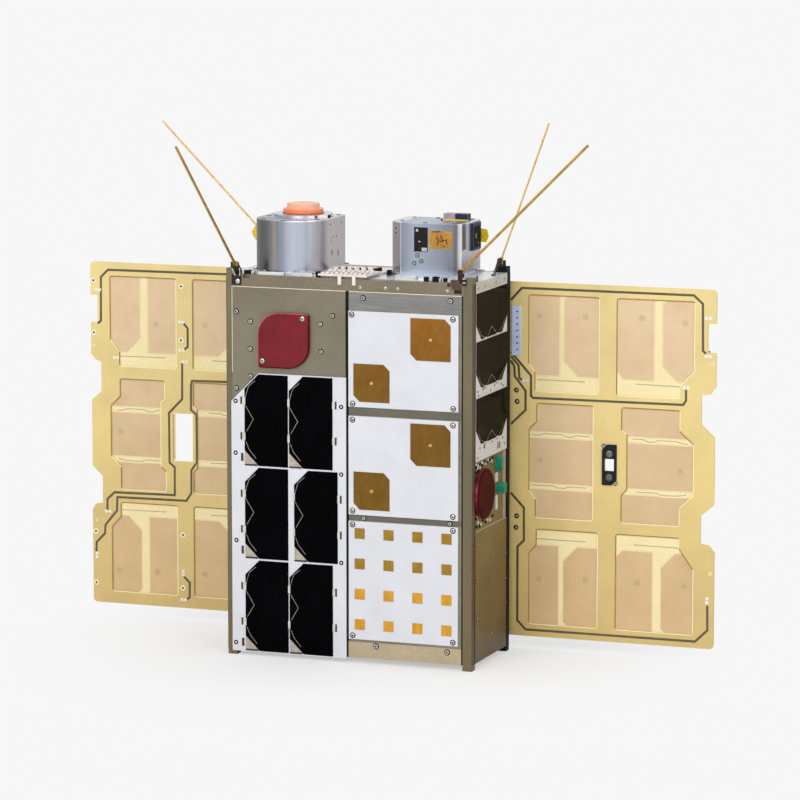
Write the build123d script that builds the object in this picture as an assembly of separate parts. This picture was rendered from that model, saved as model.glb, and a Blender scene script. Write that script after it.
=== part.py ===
from build123d import *
import os

# A small box satellite standing on its four rail feet, wings and antenna rods out.
# All sizes in mm. X runs to the right along the front, Y to the rear, Z up.
# The origin is on the ground, at the middle of the four feet.

# Body box, a standard six unit bus
body_w = 226.3
body_d = 100.0
body_h = 340.5
rail = 8.5
rail_chamfer = 0.6

# The end frames sit back from the rail ends, so that the rails touch first
foot_h = 5.0
bottom_frame_h = 14.0
bottom_rim = 12.65
bottom_rib = 16.0
bottom_pocket_depth = 5.0
handling_hole_r = 1.65
handling_hole_depth = 9.0
handling_pitch_y = 60.0
rail_over_top = 4.9
top_bar_h = 10.4
top_plate_t = 3.0
end_lip_h = 8.2
bar_notch_w = 7.0
bar_notch_h = 3.0
bar_notch_from_rail = 7.5

# Sheet, board and cell thicknesses, and the one size of solar cell
plate_t = 2.0
board_t = 1.6
cell_t = 0.4
cell_w = 40.4
cell_h = 80.4
cell_crop = 13.0
cell_gap_x = 1.0
cell_gap_z = 1.65

# Front left: plate, board with six cells, red cover
front_split = -0.9
front_gap = 3.0
left_plate_inset = 5.55
seat_depth = 2.0
solar_inset = 4.95
solar_over_plate = 0.8
solar_z0 = 3.6
solar_edge = 1.0
solar_corner = 25.5
cells_from_split = 12.3
middle_row_shift = 4.6
cover_from_plate = 24.9
cover_above_board = 5.4
cover_w = 47.5
cover_h = 48.3
cover_t = 3.0
cover_big_r = 20.0
cover_small_r = 3.0

# Front right: plate and three antenna boards, from the top down
right_plate_clear = 1.05
antenna_from_split = 1.7
antenna_from_rail = 3.85
grey_strip = 16.8
upper_board_h = 83.1
middle_board_h = 86.1
upper_gap = 8.0
lower_gap = 5.7
lower_board_clear = 2.6
big_patch = 36.4
big_patch_in_x = 6.8
big_patch_in_z = 3.7
small_patch = 33.0
small_patch_in = 4.7
patch_crop = 5.5
square_side = 9.2
square_count = 4
square_margin = 10.2
square_low_margin = 13.2
square_high_margin = 10.6

# Sides: board with three cells, service board, plate, from the top down
side_skin = 2.6
service_recess = 1.0
side_board_h = 146.4
# Tops of the three side cells, measured down from the end lip
side_cell_tops = (1.2, 43.0, 91.8)
service_h = 60.6
service_joint = 0.4
round_cover_r = 22.0
round_cover_t = 4.2
round_cover_edge = 1.6
round_cover_neck = 17.0
round_cover_y = -22.5
round_cover_up = 31.4
# Sockets on the service board: y, height above its lower edge, width, height, how proud
sockets = [
    (17.5, 51.5, 6.0, 13.8, 5.0),
    (20.5, 29.6, 8.0, 9.6, 7.0),
]
socket_corner = 2.2

# Rear: board with a field of cells
rear_margin = 12.0
rear_cells_z0 = 26.0

# Left can: half a cylinder to the front, square to the rear
flange_t = 2.4
flange_lip = 3.0
left_can_from_rail = 39.35
left_can_r = 32.3
left_can_y0 = -11.0
left_can_back = 41.0
left_can_h = 44.4
can_edge = 0.8
left_flange_front = 35.0
lens_y = 12.0
ring_r = 26.0
ring_h = 1.8
cap_low_r = 17.6
cap_low_h = 4.1
cap_top_r = 14.2
cap_top_h = 4.6
# Openings in the right side of the left can: y, height above the flange, width, height
can_slots = [
    (-2.4, 14.0, 2.6, 5.0),
    (12.4, 12.4, 2.6, 5.0),
    (-5.4, 24.9, 1.6, 1.6),
    (-0.1, 27.4, 1.6, 1.6),
    (8.6, 27.3, 1.6, 1.6),
    (20.6, 38.6, 1.6, 1.6),
]
slot_depth = 1.5

# Right can: one front corner cut off, a window in the front, a slot in the right side
right_can_from_rail = 15.45
right_can_w = 67.4
right_can_y0 = -10.0
right_can_depth = 49.0
right_can_h = 43.8
right_can_corner = 11.2
can_window_x = 23.8
can_window_w = 12.7
can_window_z = 18.6
can_window_h = 21.4
can_window_depth = 2.0
side_slot_y = 1.2
side_slot_w = 10.5
side_slot_h = 22.7
socket_block_y = 24.0
socket_block_w = 21.0
socket_block_h = 23.6
socket_block_t = 2.0
top_block_x = 40.2
top_block_y = 30.0
top_block_w = 21.5
top_block_d = 10.0
top_block_h = 5.5
right_flange_front = 23.0
right_flange_in = 15.0

# Board between the cans, with two tabs over the front edge
middle_clear = 2.0
middle_t = 1.6
middle_lift = 1.8
middle_front = 1.0
middle_depth = 34.0
middle_ledge = 4.0
rear_strip_depth = 30.0
tab_w = 3.0
tab_drop = 7.0
tab_xs = (-7.6, 5.6)
tab_t = 1.2

# Switch posts on two of the rails
switch_r = 1.3
switch_h = 5.2
switch_in_x = 4.0
switch_in_y = 4.5

# Antenna rods. One pair folds along the front and rear edges from straight pins,
# the other pair folds beside it from pins that lean
rod_len = 159.9
rod_r_front = 1.2
rod_r_rear = 0.8
knuckle_r = 2.4
knuckle_half = 1.7
collar_r = 1.5
collar_len = 5.0
pin_r = 0.8
pin_play = 0.05
cheek_gap = 0.2
cheek_t = 0.9
stem_gap = 0.5
stem_len = 9.6
stem_half_w = 2.0
# Pin of the pair that leans sideways: in from the rail, behind the front face, up from the top
side_pin_in = 3.15
side_pin_back = 3.0
side_pin_up = 9.8
side_turn = -2.8
side_rise = 44.3
# Pin of the pair that leans forwards: in from the rail, in front of the face, up from the top
end_pin_in = 1.25
end_pin_out = 1.5
end_pin_up = 7.8
end_turn = -93.2
end_rise = 44.4

# Wings: flat boards that turn on pins behind the body's rear corners
wing_t = 1.6
pocket_depth = 1.0
pocket_r = 1.6
hinge_inset = 7.15
hinge_to_wing = 4.0
wing_w = 186.9
wing_z0 = 11.2
wing_corner_r = 4.0
right_wing_back = 10.4
wing_layer = 11.0
hinge_behind_wing = 3.6
wing_foot_edge = 1.8
wing_top_edge = 1.4
wing_low_gap = 9.2
wing_high_gap = 9.6
wing_mid_gap = 5.3
hinge_from_middle = 56.0
hinge_r = 3.0
hinge_pin_r = 1.4
hinge_play = 0.05
leaf_t = 1.6
leaf_w = 15.0
fixed_half = 5.0
leaf_half = 11.0
leaf_gap = 0.4
block_to_axis = 1.0
# Cells behind each wing, near edge from the board's inner edge: upright ones along the top and
# the foot, pairs of lying ones in the three rows between
upright_cell_xs = (4.5, 49.0, 90.5, 138.4)
lying_cell_xs = ((12.0, 93.0), (6.0, 105.1), (12.0, 93.0))
# Window through the left wing: near and far edge from the board's inner edge, height
window_near = 87.1
window_far = 106.4
window_h = 44.0
sensor_near = 84.8
sensor_w = 13.2
sensor_h = 35.9
sensor_t = 1.4
sensor_hole_w = 8.8
sensor_hole_h = 10.6
sensor_hole_clear = 0.5
sensor_crop = 4.6

# Outer edge of each wing, from the top corner down: measured from the top edge, the middle
# or the low edge, how far in, height from there
right_edge = [
    ("top", 0.0, -29.5), ("top", 8.0, -29.5), ("top", 8.0, -54.5), ("top", 0.0, -54.5),
    ("top", 0.0, -84.1), ("top", 4.8, -90.9), ("top", 12.9, -91.9),
    ("middle", 12.9, 40.0), ("middle", 0.9, 29.0), ("middle", 0.9, -30.4), ("middle", 12.6, -40.2),
    ("low", 12.6, 92.5), ("low", 5.1, 91.5), ("low", 0.0, 85.3),
]
left_edge = [
    ("top", 0.0, -30.6), ("top", 6.9, -30.6), ("top", 6.9, -55.3), ("top", 0.0, -55.3),
    ("top", 0.0, -84.6), ("top", 4.3, -89.7), ("top", 9.9, -92.1),
    ("middle", 9.9, 38.8), ("middle", 0.3, 30.3), ("middle", 0.3, -30.6), ("middle", 10.2, -39.7),
    ("low", 10.2, 92.8), ("low", 3.1, 91.4), ("low", 0.0, 86.0),
]
# Pockets in the front of each wing: edge they are measured from, near and far x from the
# board's inner edge, low and high z, then a step in the corners low near, low far, high near,
# high far, each as width, height and rise
right_pockets = [
    ("top", 17.2, 80.8, -95.8, -11.5, (5.8, 17.0, 7.5), None, None, None),
    ("top", 97.7, 167.0, -95.8, -11.5, None, (13.0, 10.5, 13.5), None, None),
    ("middle", 18.0, 75.8, -50.5, 50.5, (6.0, 16.0, 8.0), None, (6.8, 16.0, 7.0), None),
    ("middle", 107.5, 167.0, -50.5, 50.5, (-5.0, 24.0, 5.0), (12.5, 16.0, 11.0),
     (-5.0, 19.5, 3.5), (12.5, 18.0, 11.0)),
    ("low", 18.3, 80.5, 11.5, 95.8, None, None, (6.6, 14.0, 7.0), None),
    ("low", 97.9, 167.5, 11.5, 95.8, None, None, None, (13.0, 9.0, 18.0)),
]
left_pockets = [
    ("top", 17.2, 86.0, -94.6, -13.1, (5.8, 17.0, 7.5), None, None, None),
    ("top", 103.0, 167.3, -94.6, -13.1, None, (9.0, 13.0, 11.0), None, None),
    ("middle", 18.0, 82.2, -50.5, 50.5, (6.0, 16.0, 8.0), (-3.8, 19.0, 4.0),
     (6.8, 16.0, 7.0), (-3.8, 21.0, 3.5)),
    ("middle", 118.8, 167.3, -50.5, 50.5, (-5.0, 18.0, 4.0), (9.6, 20.0, 10.0), (-4.0, 16.0, 3.0),
     (9.2, 16.0, 9.0)),
    ("low", 18.3, 86.0, 11.5, 93.8, None, None, (6.6, 14.0, 7.0), None),
    ("low", 103.0, 167.3, 11.5, 93.8, None, None, None, (9.0, 13.0, 10.0)),
]

# Places that follow from the sizes above
x_side = body_w / 2
y_face = body_d / 2
x_rail = x_side - rail
y_rail = y_face - rail
bottom_z = foot_h + bottom_frame_h
top_z = body_h - rail_over_top
bar_z = top_z - top_bar_h

os.makedirs("parts", exist_ok=True)


def box(x0, x1, y0, y1, z0, z1):
    return Pos((x0 + x1) / 2, (y0 + y1) / 2, (z0 + z1) / 2) * Box(x1 - x0, y1 - y0, z1 - z0)


def upright_face(points):
    return make_face(Polyline(*[(x, 0, z) for x, z in points], close=True))


def stand(face, y0, y1):
    # A flat piece standing in the XZ plane
    return Pos(0, y0, 0) * extrude(face, amount=y1 - y0, dir=(0, 1, 0))


def upright(points, y0, y1):
    return stand(upright_face(points), y0, y1)


def flat(points, z0, z1):
    # A flat piece lying in the XY plane, from an outline of x and y
    face = make_face(Polyline(*[(x, y, 0) for x, y in points], close=True))
    return Pos(0, 0, z0) * extrude(face, amount=z1 - z0, dir=(0, 0, 1))


def cylinder_x(x0, x1, y, z, r):
    return Pos((x0 + x1) / 2, y, z) * Rot(0, 90, 0) * Cylinder(r, x1 - x0)


def cylinder_z(x, y, z0, z1, r):
    return Pos(x, y, (z0 + z1) / 2) * Cylinder(r, z1 - z0)


def save(name, *solids):
    shape = Compound(children=[s for s in solids])
    export_step(shape, f"parts/{name}.step")


def cell_outline(x, z):
    # A solar cell standing upright, both corners cropped on the low x side
    return [(x + cell_crop, z), (x + cell_w, z), (x + cell_w, z + cell_h),
            (x + cell_crop, z + cell_h), (x, z + cell_h - cell_crop), (x, z + cell_crop)]


# Front left edges, used by the rail, the plate and the board
plate_x0 = -x_side + left_plate_inset
plate_x1 = front_split - front_gap / 2

# Corner rails with eased edges; the front left one is cut back for the edge of its plate
rails = []
for sx, sy in ((-1, -1), (1, -1), (-1, 1), (1, 1)):
    x0, x1 = sorted((sx * x_rail, sx * x_side))
    y0, y1 = sorted((sy * y_rail, sy * y_face))
    bar = box(x0, x1, y0, y1, 0, body_h)
    outer = bar.edges().filter_by(Axis.Z).sort_by_distance((sx * x_side, sy * y_face, body_h / 2))[0]
    bar = chamfer(outer, rail_chamfer)
    if sx < 0 and sy < 0:
        bar -= box(plate_x0, x1 + 1, y0 - 1, y0 + seat_depth, bottom_z, bar_z)
    rails.append(bar)
save("rails", *rails[:3])
save("dark_rail", rails[3])

# Bottom frame with two shallow pockets below and four tapped handling holes in its rim
frame_outline = [
    (-x_side, -y_rail), (-x_rail, -y_rail), (-x_rail, -y_face), (x_rail, -y_face),
    (x_rail, -y_rail), (x_side, -y_rail), (x_side, y_rail), (x_rail, y_rail),
    (x_rail, y_face), (-x_rail, y_face), (-x_rail, y_rail), (-x_side, y_rail),
]
bottom = flat(frame_outline, foot_h, bottom_z)
for s in (-1, 1):
    x0, x1 = sorted((s * bottom_rib / 2, s * (x_rail - bottom_rim)))
    bottom -= box(x0, x1, -y_rail + bottom_rim, y_rail - bottom_rim,
                  foot_h - 1, foot_h + bottom_pocket_depth)
hole_x = x_rail - bottom_rim / 2
for sx in (-1, 1):
    for sy in (-1, 1):
        bottom -= cylinder_z(sx * hole_x, sy * handling_pitch_y / 2, foot_h - 1,
                             foot_h + handling_hole_depth, handling_hole_r)
save("bottom_frame", bottom)

# Top: brown bars at the front and rear, one silver plate with a lip down each end
bars = []
for s in (-1, 1):
    y0, y1 = sorted((s * y_rail, s * y_face))
    bar = box(-x_rail, x_rail, y0, y1, bar_z, top_z)
    for sx in (-1, 1):
        x0, x1 = sorted((sx * (x_rail - bar_notch_from_rail),
                         sx * (x_rail - bar_notch_from_rail - bar_notch_w)))
        n0, n1 = sorted((s * (y_face - rail / 2), s * (y_face + 1)))
        bar -= box(x0, x1, n0, n1, top_z - bar_notch_h, top_z + 1)
    bars.append(bar)
save("top_bars", *bars)
top_plate = box(-x_side, x_side, -y_rail, y_rail, bar_z, top_z)
top_plate -= box(-x_rail, x_rail, -y_rail, y_rail, bar_z - 1, top_z - top_plate_t)
end_lip_z = top_z - end_lip_h
for s in (-1, 1):
    inner, outer = sorted((s * (x_side - side_skin), s * (x_side + 1)))
    top_plate -= box(inner, outer, -y_face, y_face, bar_z - 1, end_lip_z)
save("top_plate", top_plate)

# One plain block stands for the batteries, radios and computers inside
xs = x_side - side_skin
yf = y_face - plate_t
save("inner_block", flat(
    [(-xs, -y_rail), (-x_rail, -y_rail), (-x_rail, -yf), (x_rail, -yf),
     (x_rail, -y_rail), (xs, -y_rail), (xs, y_rail), (x_rail, y_rail),
     (x_rail, yf), (-x_rail, yf), (-x_rail, y_rail), (-xs, y_rail)],
    bottom_z, bar_z))

# Front left: plate, board with six cells, red cover
save("left_plate", box(plate_x0, plate_x1, -y_face, -y_face + plate_t, bottom_z, bar_z))
sx0 = -x_side + solar_inset
sx1 = plate_x1 + solar_over_plate
sz1 = solar_z0 + 2 * solar_edge + 3 * cell_h + 2 * cell_gap_z
board_front = -y_face - board_t
save("solar_board", upright(
    [(sx0, solar_z0), (sx1, solar_z0), (sx1, sz1), (sx0 + solar_corner, sz1),
     (sx0, sz1 - solar_corner)],
    board_front, -y_face))
cells = []
for row in range(3):
    for column in range(2):
        x = sx1 - cells_from_split - (2 - column) * cell_w - (1 - column) * cell_gap_x
        if row == 1 and column == 1:
            x += middle_row_shift
        z = solar_z0 + solar_edge + row * (cell_h + cell_gap_z)
        cells.append(upright(cell_outline(x, z), board_front - cell_t, board_front))
save("front_cells", *cells)
cx0 = plate_x0 + cover_from_plate
cx1 = cx0 + cover_w
cz0 = sz1 + cover_above_board
cz1 = cz0 + cover_h
face = upright_face([(cx0, cz0), (cx1, cz0), (cx1, cz1), (cx0, cz1)])
for x, z, r in ((cx0, cz1, cover_big_r), (cx1, cz0, cover_big_r),
                (cx0, cz0, cover_small_r), (cx1, cz1, cover_small_r)):
    corner = face.vertices().sort_by_distance((x, 0, z))[0]
    face = fillet(corner, r)
save("red_cover", stand(face, -y_face - cover_t, -y_face))

# Front right: plate, three antenna boards, gold patches and a field of gold squares
rx0 = front_split + front_gap / 2
save("right_plate", box(rx0, x_rail - right_plate_clear, -y_face, -y_face + plate_t, bottom_z, bar_z))
ax0 = front_split + antenna_from_split
ax1 = x_rail - antenna_from_rail
uz1 = bar_z - grey_strip
uz0 = uz1 - upper_board_h
mz1 = uz0 - upper_gap
mz0 = mz1 - middle_board_h
lz1 = mz0 - lower_gap
lz0 = bottom_z + lower_board_clear
gold = []
for name, z0, z1 in (("upper", uz0, uz1), ("middle", mz0, mz1), ("lower", lz0, lz1)):
    save(f"antenna_board_{name}", box(ax0, ax1, board_front, -y_face, z0, z1))
    if name == "lower":
        continue
    for x0, z_low, side in (
            (ax1 - big_patch_in_x - big_patch, z1 - big_patch_in_z - big_patch, big_patch),
            (ax0 + small_patch_in, z0 + small_patch_in, small_patch)):
        x1 = x0 + side
        z_high = z_low + side
        gold.append(upright(
            [(x0 + patch_crop, z_low), (x1, z_low), (x1, z_high - patch_crop),
             (x1 - patch_crop, z_high), (x0, z_high), (x0, z_low + patch_crop)],
            board_front - cell_t, board_front))
pitch_x = (ax1 - ax0 - 2 * square_margin) / (square_count - 1)
pitch_z = (lz1 - lz0 - square_low_margin - square_high_margin) / (square_count - 1)
for i in range(square_count):
    for j in range(square_count):
        x = ax0 + square_margin + i * pitch_x
        z = lz0 + square_low_margin + j * pitch_z
        gold.append(box(x - square_side / 2, x + square_side / 2, board_front - cell_t, board_front,
                        z - square_side / 2, z + square_side / 2))
save("gold_patches", *gold)

# Sides, the same on the right and on the left
side_z = end_lip_z - side_board_h
service_z1 = side_z - service_joint
service_z0 = service_z1 - service_h


def side_cell(s, z):
    # A cell lying along the side, both lower corners cropped
    half = cell_h / 2
    points = [(cell_crop - half, z), (half - cell_crop, z), (half, z + cell_crop), (half, z + cell_w),
              (-half, z + cell_w), (-half, z + cell_crop)]
    face = make_face(Polyline(*[(s * x_side, y, up) for y, up in points], close=True))
    return extrude(face, amount=cell_t, dir=(s, 0, 0))


side_boards = []
side_cells = []
service_boards = []
side_plates = []
for s in (1, -1):
    inner, outer = sorted((s * (x_side - side_skin), s * x_side))
    side_boards.append(box(inner, outer, -y_rail, y_rail, side_z, end_lip_z))
    side_plates.append(box(inner, outer, -y_rail, y_rail, bottom_z, service_z0))
    inner, outer = sorted((s * (x_side - side_skin), s * (x_side - service_recess)))
    service_boards.append(box(inner, outer, -y_rail, y_rail, service_z0, service_z1))
    for down in side_cell_tops:
        side_cells.append(side_cell(s, end_lip_z - down - cell_w))
save("side_boards", *side_boards)
save("side_cells", *side_cells)
save("service_boards", *service_boards)
save("side_plates", *side_plates)
service_x = x_side - service_recess
cover_z = service_z0 + round_cover_up
disc = cylinder_x(x_side, x_side + round_cover_t, round_cover_y, cover_z, round_cover_r)
disc = chamfer(disc.edges().sort_by(Axis.X)[-1], round_cover_edge)
save("round_cover", disc + cylinder_x(service_x, x_side, round_cover_y, cover_z, round_cover_neck))
blocks = []
for y, up, width, height, out in sockets:
    z = service_z0 + up
    block = box(service_x, service_x + out, y - width / 2, y + width / 2, z - height / 2, z + height / 2)
    blocks.append(fillet(block.edges().filter_by(Axis.X), socket_corner))
save("green_sockets", *blocks)

# Rear board with as many cells as fit across
save("rear_board", box(-x_rail, x_rail, yf, y_face, bottom_z, bar_z))
columns = int((2 * x_rail - 2 * rear_margin + cell_gap_x) // (cell_w + cell_gap_x))
field_w = columns * cell_w + (columns - 1) * cell_gap_x
rows = int((bar_z - rear_cells_z0 + cell_gap_z) // (cell_h + cell_gap_z))
cells = []
for i in range(columns):
    for j in range(rows):
        x = -field_w / 2 + i * (cell_w + cell_gap_x)
        z = rear_cells_z0 + j * (cell_h + cell_gap_z)
        cells.append(upright(cell_outline(x, z), y_face, y_face + cell_t))
save("rear_cells", *cells)

# Left can: half round to the front, square to the rear, with a stepped cap on a ring
can_z = top_z + flange_t
can_x = -x_rail + left_can_from_rail
can_back_y = left_can_y0 + left_can_back
can_x0 = can_x - left_can_r
can_x1 = can_x + left_can_r


def can_face(r, back):
    arc = ThreePointArc((can_x - r, left_can_y0), (can_x, left_can_y0 - r), (can_x + r, left_can_y0))
    sides = Polyline((can_x + r, left_can_y0), (can_x + r, back), (can_x - r, back),
                     (can_x - r, left_can_y0))
    return make_face([arc, sides])


left_can = Pos(0, 0, can_z) * extrude(can_face(left_can_r, can_back_y), amount=left_can_h, dir=(0, 0, 1))
left_can = chamfer(left_can.faces().sort_by(Axis.Z)[-1].edges(), can_edge)
for y, up, width, height in can_slots:
    left_can -= box(can_x1 - slot_depth, can_x1 + 1, y - width / 2, y + width / 2,
                    can_z + up - height / 2, can_z + up + height / 2)
save("left_can", left_can)
ring_z = can_z + left_can_h
save("lens_ring", cylinder_z(can_x, lens_y, ring_z, ring_z + ring_h, ring_r))
cap_z = ring_z + ring_h
cap_profile = Polyline((0, cap_z), (cap_low_r, cap_z), (cap_low_r, cap_z + cap_low_h),
                       (cap_top_r, cap_z + cap_low_h), (cap_top_r, cap_z + cap_low_h + cap_top_h),
                       (0, cap_z + cap_low_h + cap_top_h), close=True)
cap = revolve(make_face(Plane.XZ * cap_profile), Axis.Z)
save("lens_cap", Pos(can_x, lens_y, 0) * cap)

# Right can with its window, its slot and the black blocks on it
rc_x1 = x_rail - right_can_from_rail
rc_x0 = rc_x1 - right_can_w
rc_y1 = right_can_y0 + right_can_depth
right_can_z = top_z + flange_t
rc_z1 = right_can_z + right_can_h
right_can = flat(
    [(rc_x0, right_can_y0 + right_can_corner), (rc_x0 + right_can_corner, right_can_y0),
     (rc_x1, right_can_y0), (rc_x1, rc_y1), (rc_x0, rc_y1)],
    right_can_z, rc_z1)
right_can = chamfer(right_can.faces().sort_by(Axis.Z)[-1].edges(), can_edge)
wx0 = rc_x0 + can_window_x
wz0 = right_can_z + can_window_z
right_can -= box(wx0, wx0 + can_window_w, right_can_y0 - 1, right_can_y0 + can_window_depth,
                 wz0, wz0 + can_window_h)
right_can -= box(rc_x1 - can_window_depth, rc_x1 + 1, right_can_y0 + side_slot_y,
                 right_can_y0 + side_slot_y + side_slot_w, rc_z1 - side_slot_h, rc_z1 + 1)
save("right_can", right_can)
block_y0 = right_can_y0 + socket_block_y
tx0 = rc_x0 + top_block_x
ty0 = right_can_y0 + top_block_y
save("can_blocks",
     box(rc_x1, rc_x1 + socket_block_t, block_y0, block_y0 + socket_block_w,
         rc_z1 - socket_block_h - 2 * can_edge, rc_z1 - 2 * can_edge),
     box(tx0, tx0 + top_block_w, ty0, ty0 + top_block_d, rc_z1, rc_z1 + top_block_h))

# Flanges under the cans: the left one follows the half round
lip = left_can_r + flange_lip
left_flange = flat(
    [(can_x - lip, can_back_y + flange_lip), (can_x - lip, left_can_y0 - lip / 2),
     (can_x - lip / 2, left_can_y0 - left_flange_front), (can_x + lip, left_can_y0 - left_flange_front),
     (can_x + lip, can_back_y + flange_lip)],
    top_z, can_z)
right_flange = flat(
    [(rc_x0 - flange_lip, right_can_y0 + flange_lip), (rc_x0 + right_can_corner, right_can_y0 - flange_lip),
     (rc_x0 + right_flange_in, right_can_y0 - right_flange_front),
     (rc_x1 - right_flange_in, right_can_y0 - right_flange_front),
     (rc_x1 + flange_lip, right_can_y0 - flange_lip), (rc_x1 + flange_lip, rc_y1),
     (rc_x0 - flange_lip, rc_y1)],
    top_z, right_can_z)
save("can_flanges", left_flange, right_flange)

# Boards between the cans: one at the front with two tabs over the edge, one behind it
mx0 = can_x + lip + middle_clear
mx1 = rc_x0 - flange_lip - middle_clear
my0 = -y_face + middle_front
mz = top_z + middle_lift
front_part = box(mx0, mx1, my0, my0 + middle_depth, mz, mz + middle_t)
front_part += box(mx0 + middle_ledge, mx1 - middle_ledge, my0 + middle_ledge,
                  my0 + middle_depth - middle_ledge, top_z, mz)
for x in tab_xs:
    front_part += box(x - tab_w / 2, x + tab_w / 2, -y_face - tab_t, my0, mz, mz + middle_t)
    front_part += box(x - tab_w / 2, x + tab_w / 2, -y_face - tab_t, -y_face, mz - tab_drop, mz)
back_y0 = my0 + middle_depth + middle_clear
back_part = box(mx0, mx1, back_y0, back_y0 + rear_strip_depth, top_z, top_z + middle_t)
save("middle_board", front_part, back_part)

# Switch posts on two of the rails
post_x = x_side - switch_in_x
post_y = y_face - switch_in_y
save("switch_posts",
     cylinder_z(-post_x, -post_y, body_h, body_h + switch_h, switch_r),
     cylinder_z(post_x, post_y, body_h, body_h + switch_h, switch_r))


# Antenna roots: a knuckle on a pin between two cheeks. The pin stands square to the open and
# the folded rod, so a rod that leans forward still folds flat along the edge of the body
def antenna(pin_in, pin_y, pin_up, turn, rise, stowed_x, radius):
    point = Vector(-stowed_x * (x_rail - pin_in), pin_y, top_z + pin_up)
    opened = Vector(1, 0, 0).rotate(Axis.Y, -rise).rotate(Axis.Z, turn)
    stowed = Vector(stowed_x, 0, 0)
    axis = opened.cross(stowed).normalized()

    def along(direction, start, length, r):
        plane = Plane(origin=point + direction * start, z_dir=direction)
        return plane * Pos(0, 0, length / 2) * Cylinder(r, length)

    arm = along(axis, -knuckle_half, 2 * knuckle_half, knuckle_r)
    arm += along(opened, 0, collar_len, collar_r)
    arm += along(opened, 0, rod_len, radius)
    arm -= along(axis, -2 * knuckle_r, 4 * knuckle_r, pin_r + pin_play)
    near = knuckle_half + cheek_gap
    far = near + cheek_t
    fork = along(axis, near, cheek_t, knuckle_r) + along(axis, -far, cheek_t, knuckle_r)
    frame = Plane(origin=point, x_dir=stowed, z_dir=axis)
    reach = knuckle_r + stem_len
    outer = min(stem_half_w, pin_in - cheek_gap)
    stem = frame * Pos((stem_half_w - outer) / 2, reach / 2, 0) * Box(stem_half_w + outer, reach, 2 * far)
    slot = frame * Box(4 * reach, 2 * (knuckle_r + stem_gap), 2 * near)
    fork += stem - slot
    fork += along(axis, -far, 2 * far, pin_r)
    return arm, fork


pieces = {}
for name, pin_in, pin_y, pin_up, turn, rise, stowed_x in (
        ("side", side_pin_in, -y_face + side_pin_back, side_pin_up, side_turn, side_rise, -1),
        ("end", end_pin_in, -y_face - end_pin_out, end_pin_up, end_turn, end_rise, 1)):
    for place, r in (("front", rod_r_front), ("rear", rod_r_rear)):
        arm, fork = antenna(pin_in, pin_y, pin_up, turn, rise, stowed_x, r)
        if place == "rear":
            arm = Rot(0, 0, 180) * arm
            fork = Rot(0, 0, 180) * fork
        pieces[name, place] = (arm, fork)
body_corner = box(-x_side, x_side, -y_face, y_face, 0, top_z)
for name, key in (("front_right", ("side", "front")), ("front_left", ("end", "front")),
                  ("rear_left", ("side", "rear")), ("rear_right", ("end", "rear"))):
    save(f"rod_{name}", pieces[key][0])
save("rod_forks", *[fork - body_corner for arm, fork in pieces.values()])

# Wings
wing_h = (wing_foot_edge + wing_top_edge + 2 * cell_h + 3 * cell_w
          + wing_low_gap + wing_high_gap + 2 * wing_mid_gap)
wing_z1 = wing_z0 + wing_h
wing_middle = wing_z0 + wing_h / 2
anchors = {"top": wing_z1, "middle": wing_middle, "low": wing_z0}
hinge_x = x_side - hinge_inset
wing_x0 = hinge_x + hinge_to_wing
wing_x1 = wing_x0 + wing_w


def pocket_outline(anchor, near, far, low, high, low_near, low_far, high_near, high_far):
    z0 = anchors[anchor] + low
    z1 = anchors[anchor] + high
    x0 = wing_x0 + near
    x1 = wing_x0 + far
    points = []
    for x, z, step, sx, sz, side_first in (
            (x0, z0, low_near, 1, 1, True), (x1, z0, low_far, -1, 1, False),
            (x1, z1, high_far, -1, -1, True), (x0, z1, high_near, 1, -1, False)):
        corner = [(x, z)]
        if step:
            width, height, rise = step
            corner = [(x, z + sz * (height + rise)), (x + sx * width, z + sz * height),
                      (x + sx * width, z)]
        points += corner if side_first else corner[::-1]
    return points


def wing_cell_outlines():
    # Upright cells along the top and the foot, lying ones in the middle, as x and z outlines
    outlines = []
    low_z = wing_z0 + wing_foot_edge
    mid_z = low_z + cell_h + wing_low_gap
    high_z = wing_z1 - wing_top_edge - cell_h
    for z in (low_z, high_z):
        for x in upright_cell_xs:
            outlines.append(cell_outline(wing_x0 + x, z))
    for k, pair in enumerate(lying_cell_xs):
        z = mid_z + k * (cell_w + wing_mid_gap)
        for x in (wing_x0 + pair[0], wing_x0 + pair[1]):
            outlines.append([(x, z), (x + cell_h, z), (x + cell_h, z + cell_w), (x, z + cell_w)])
    return outlines


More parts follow.
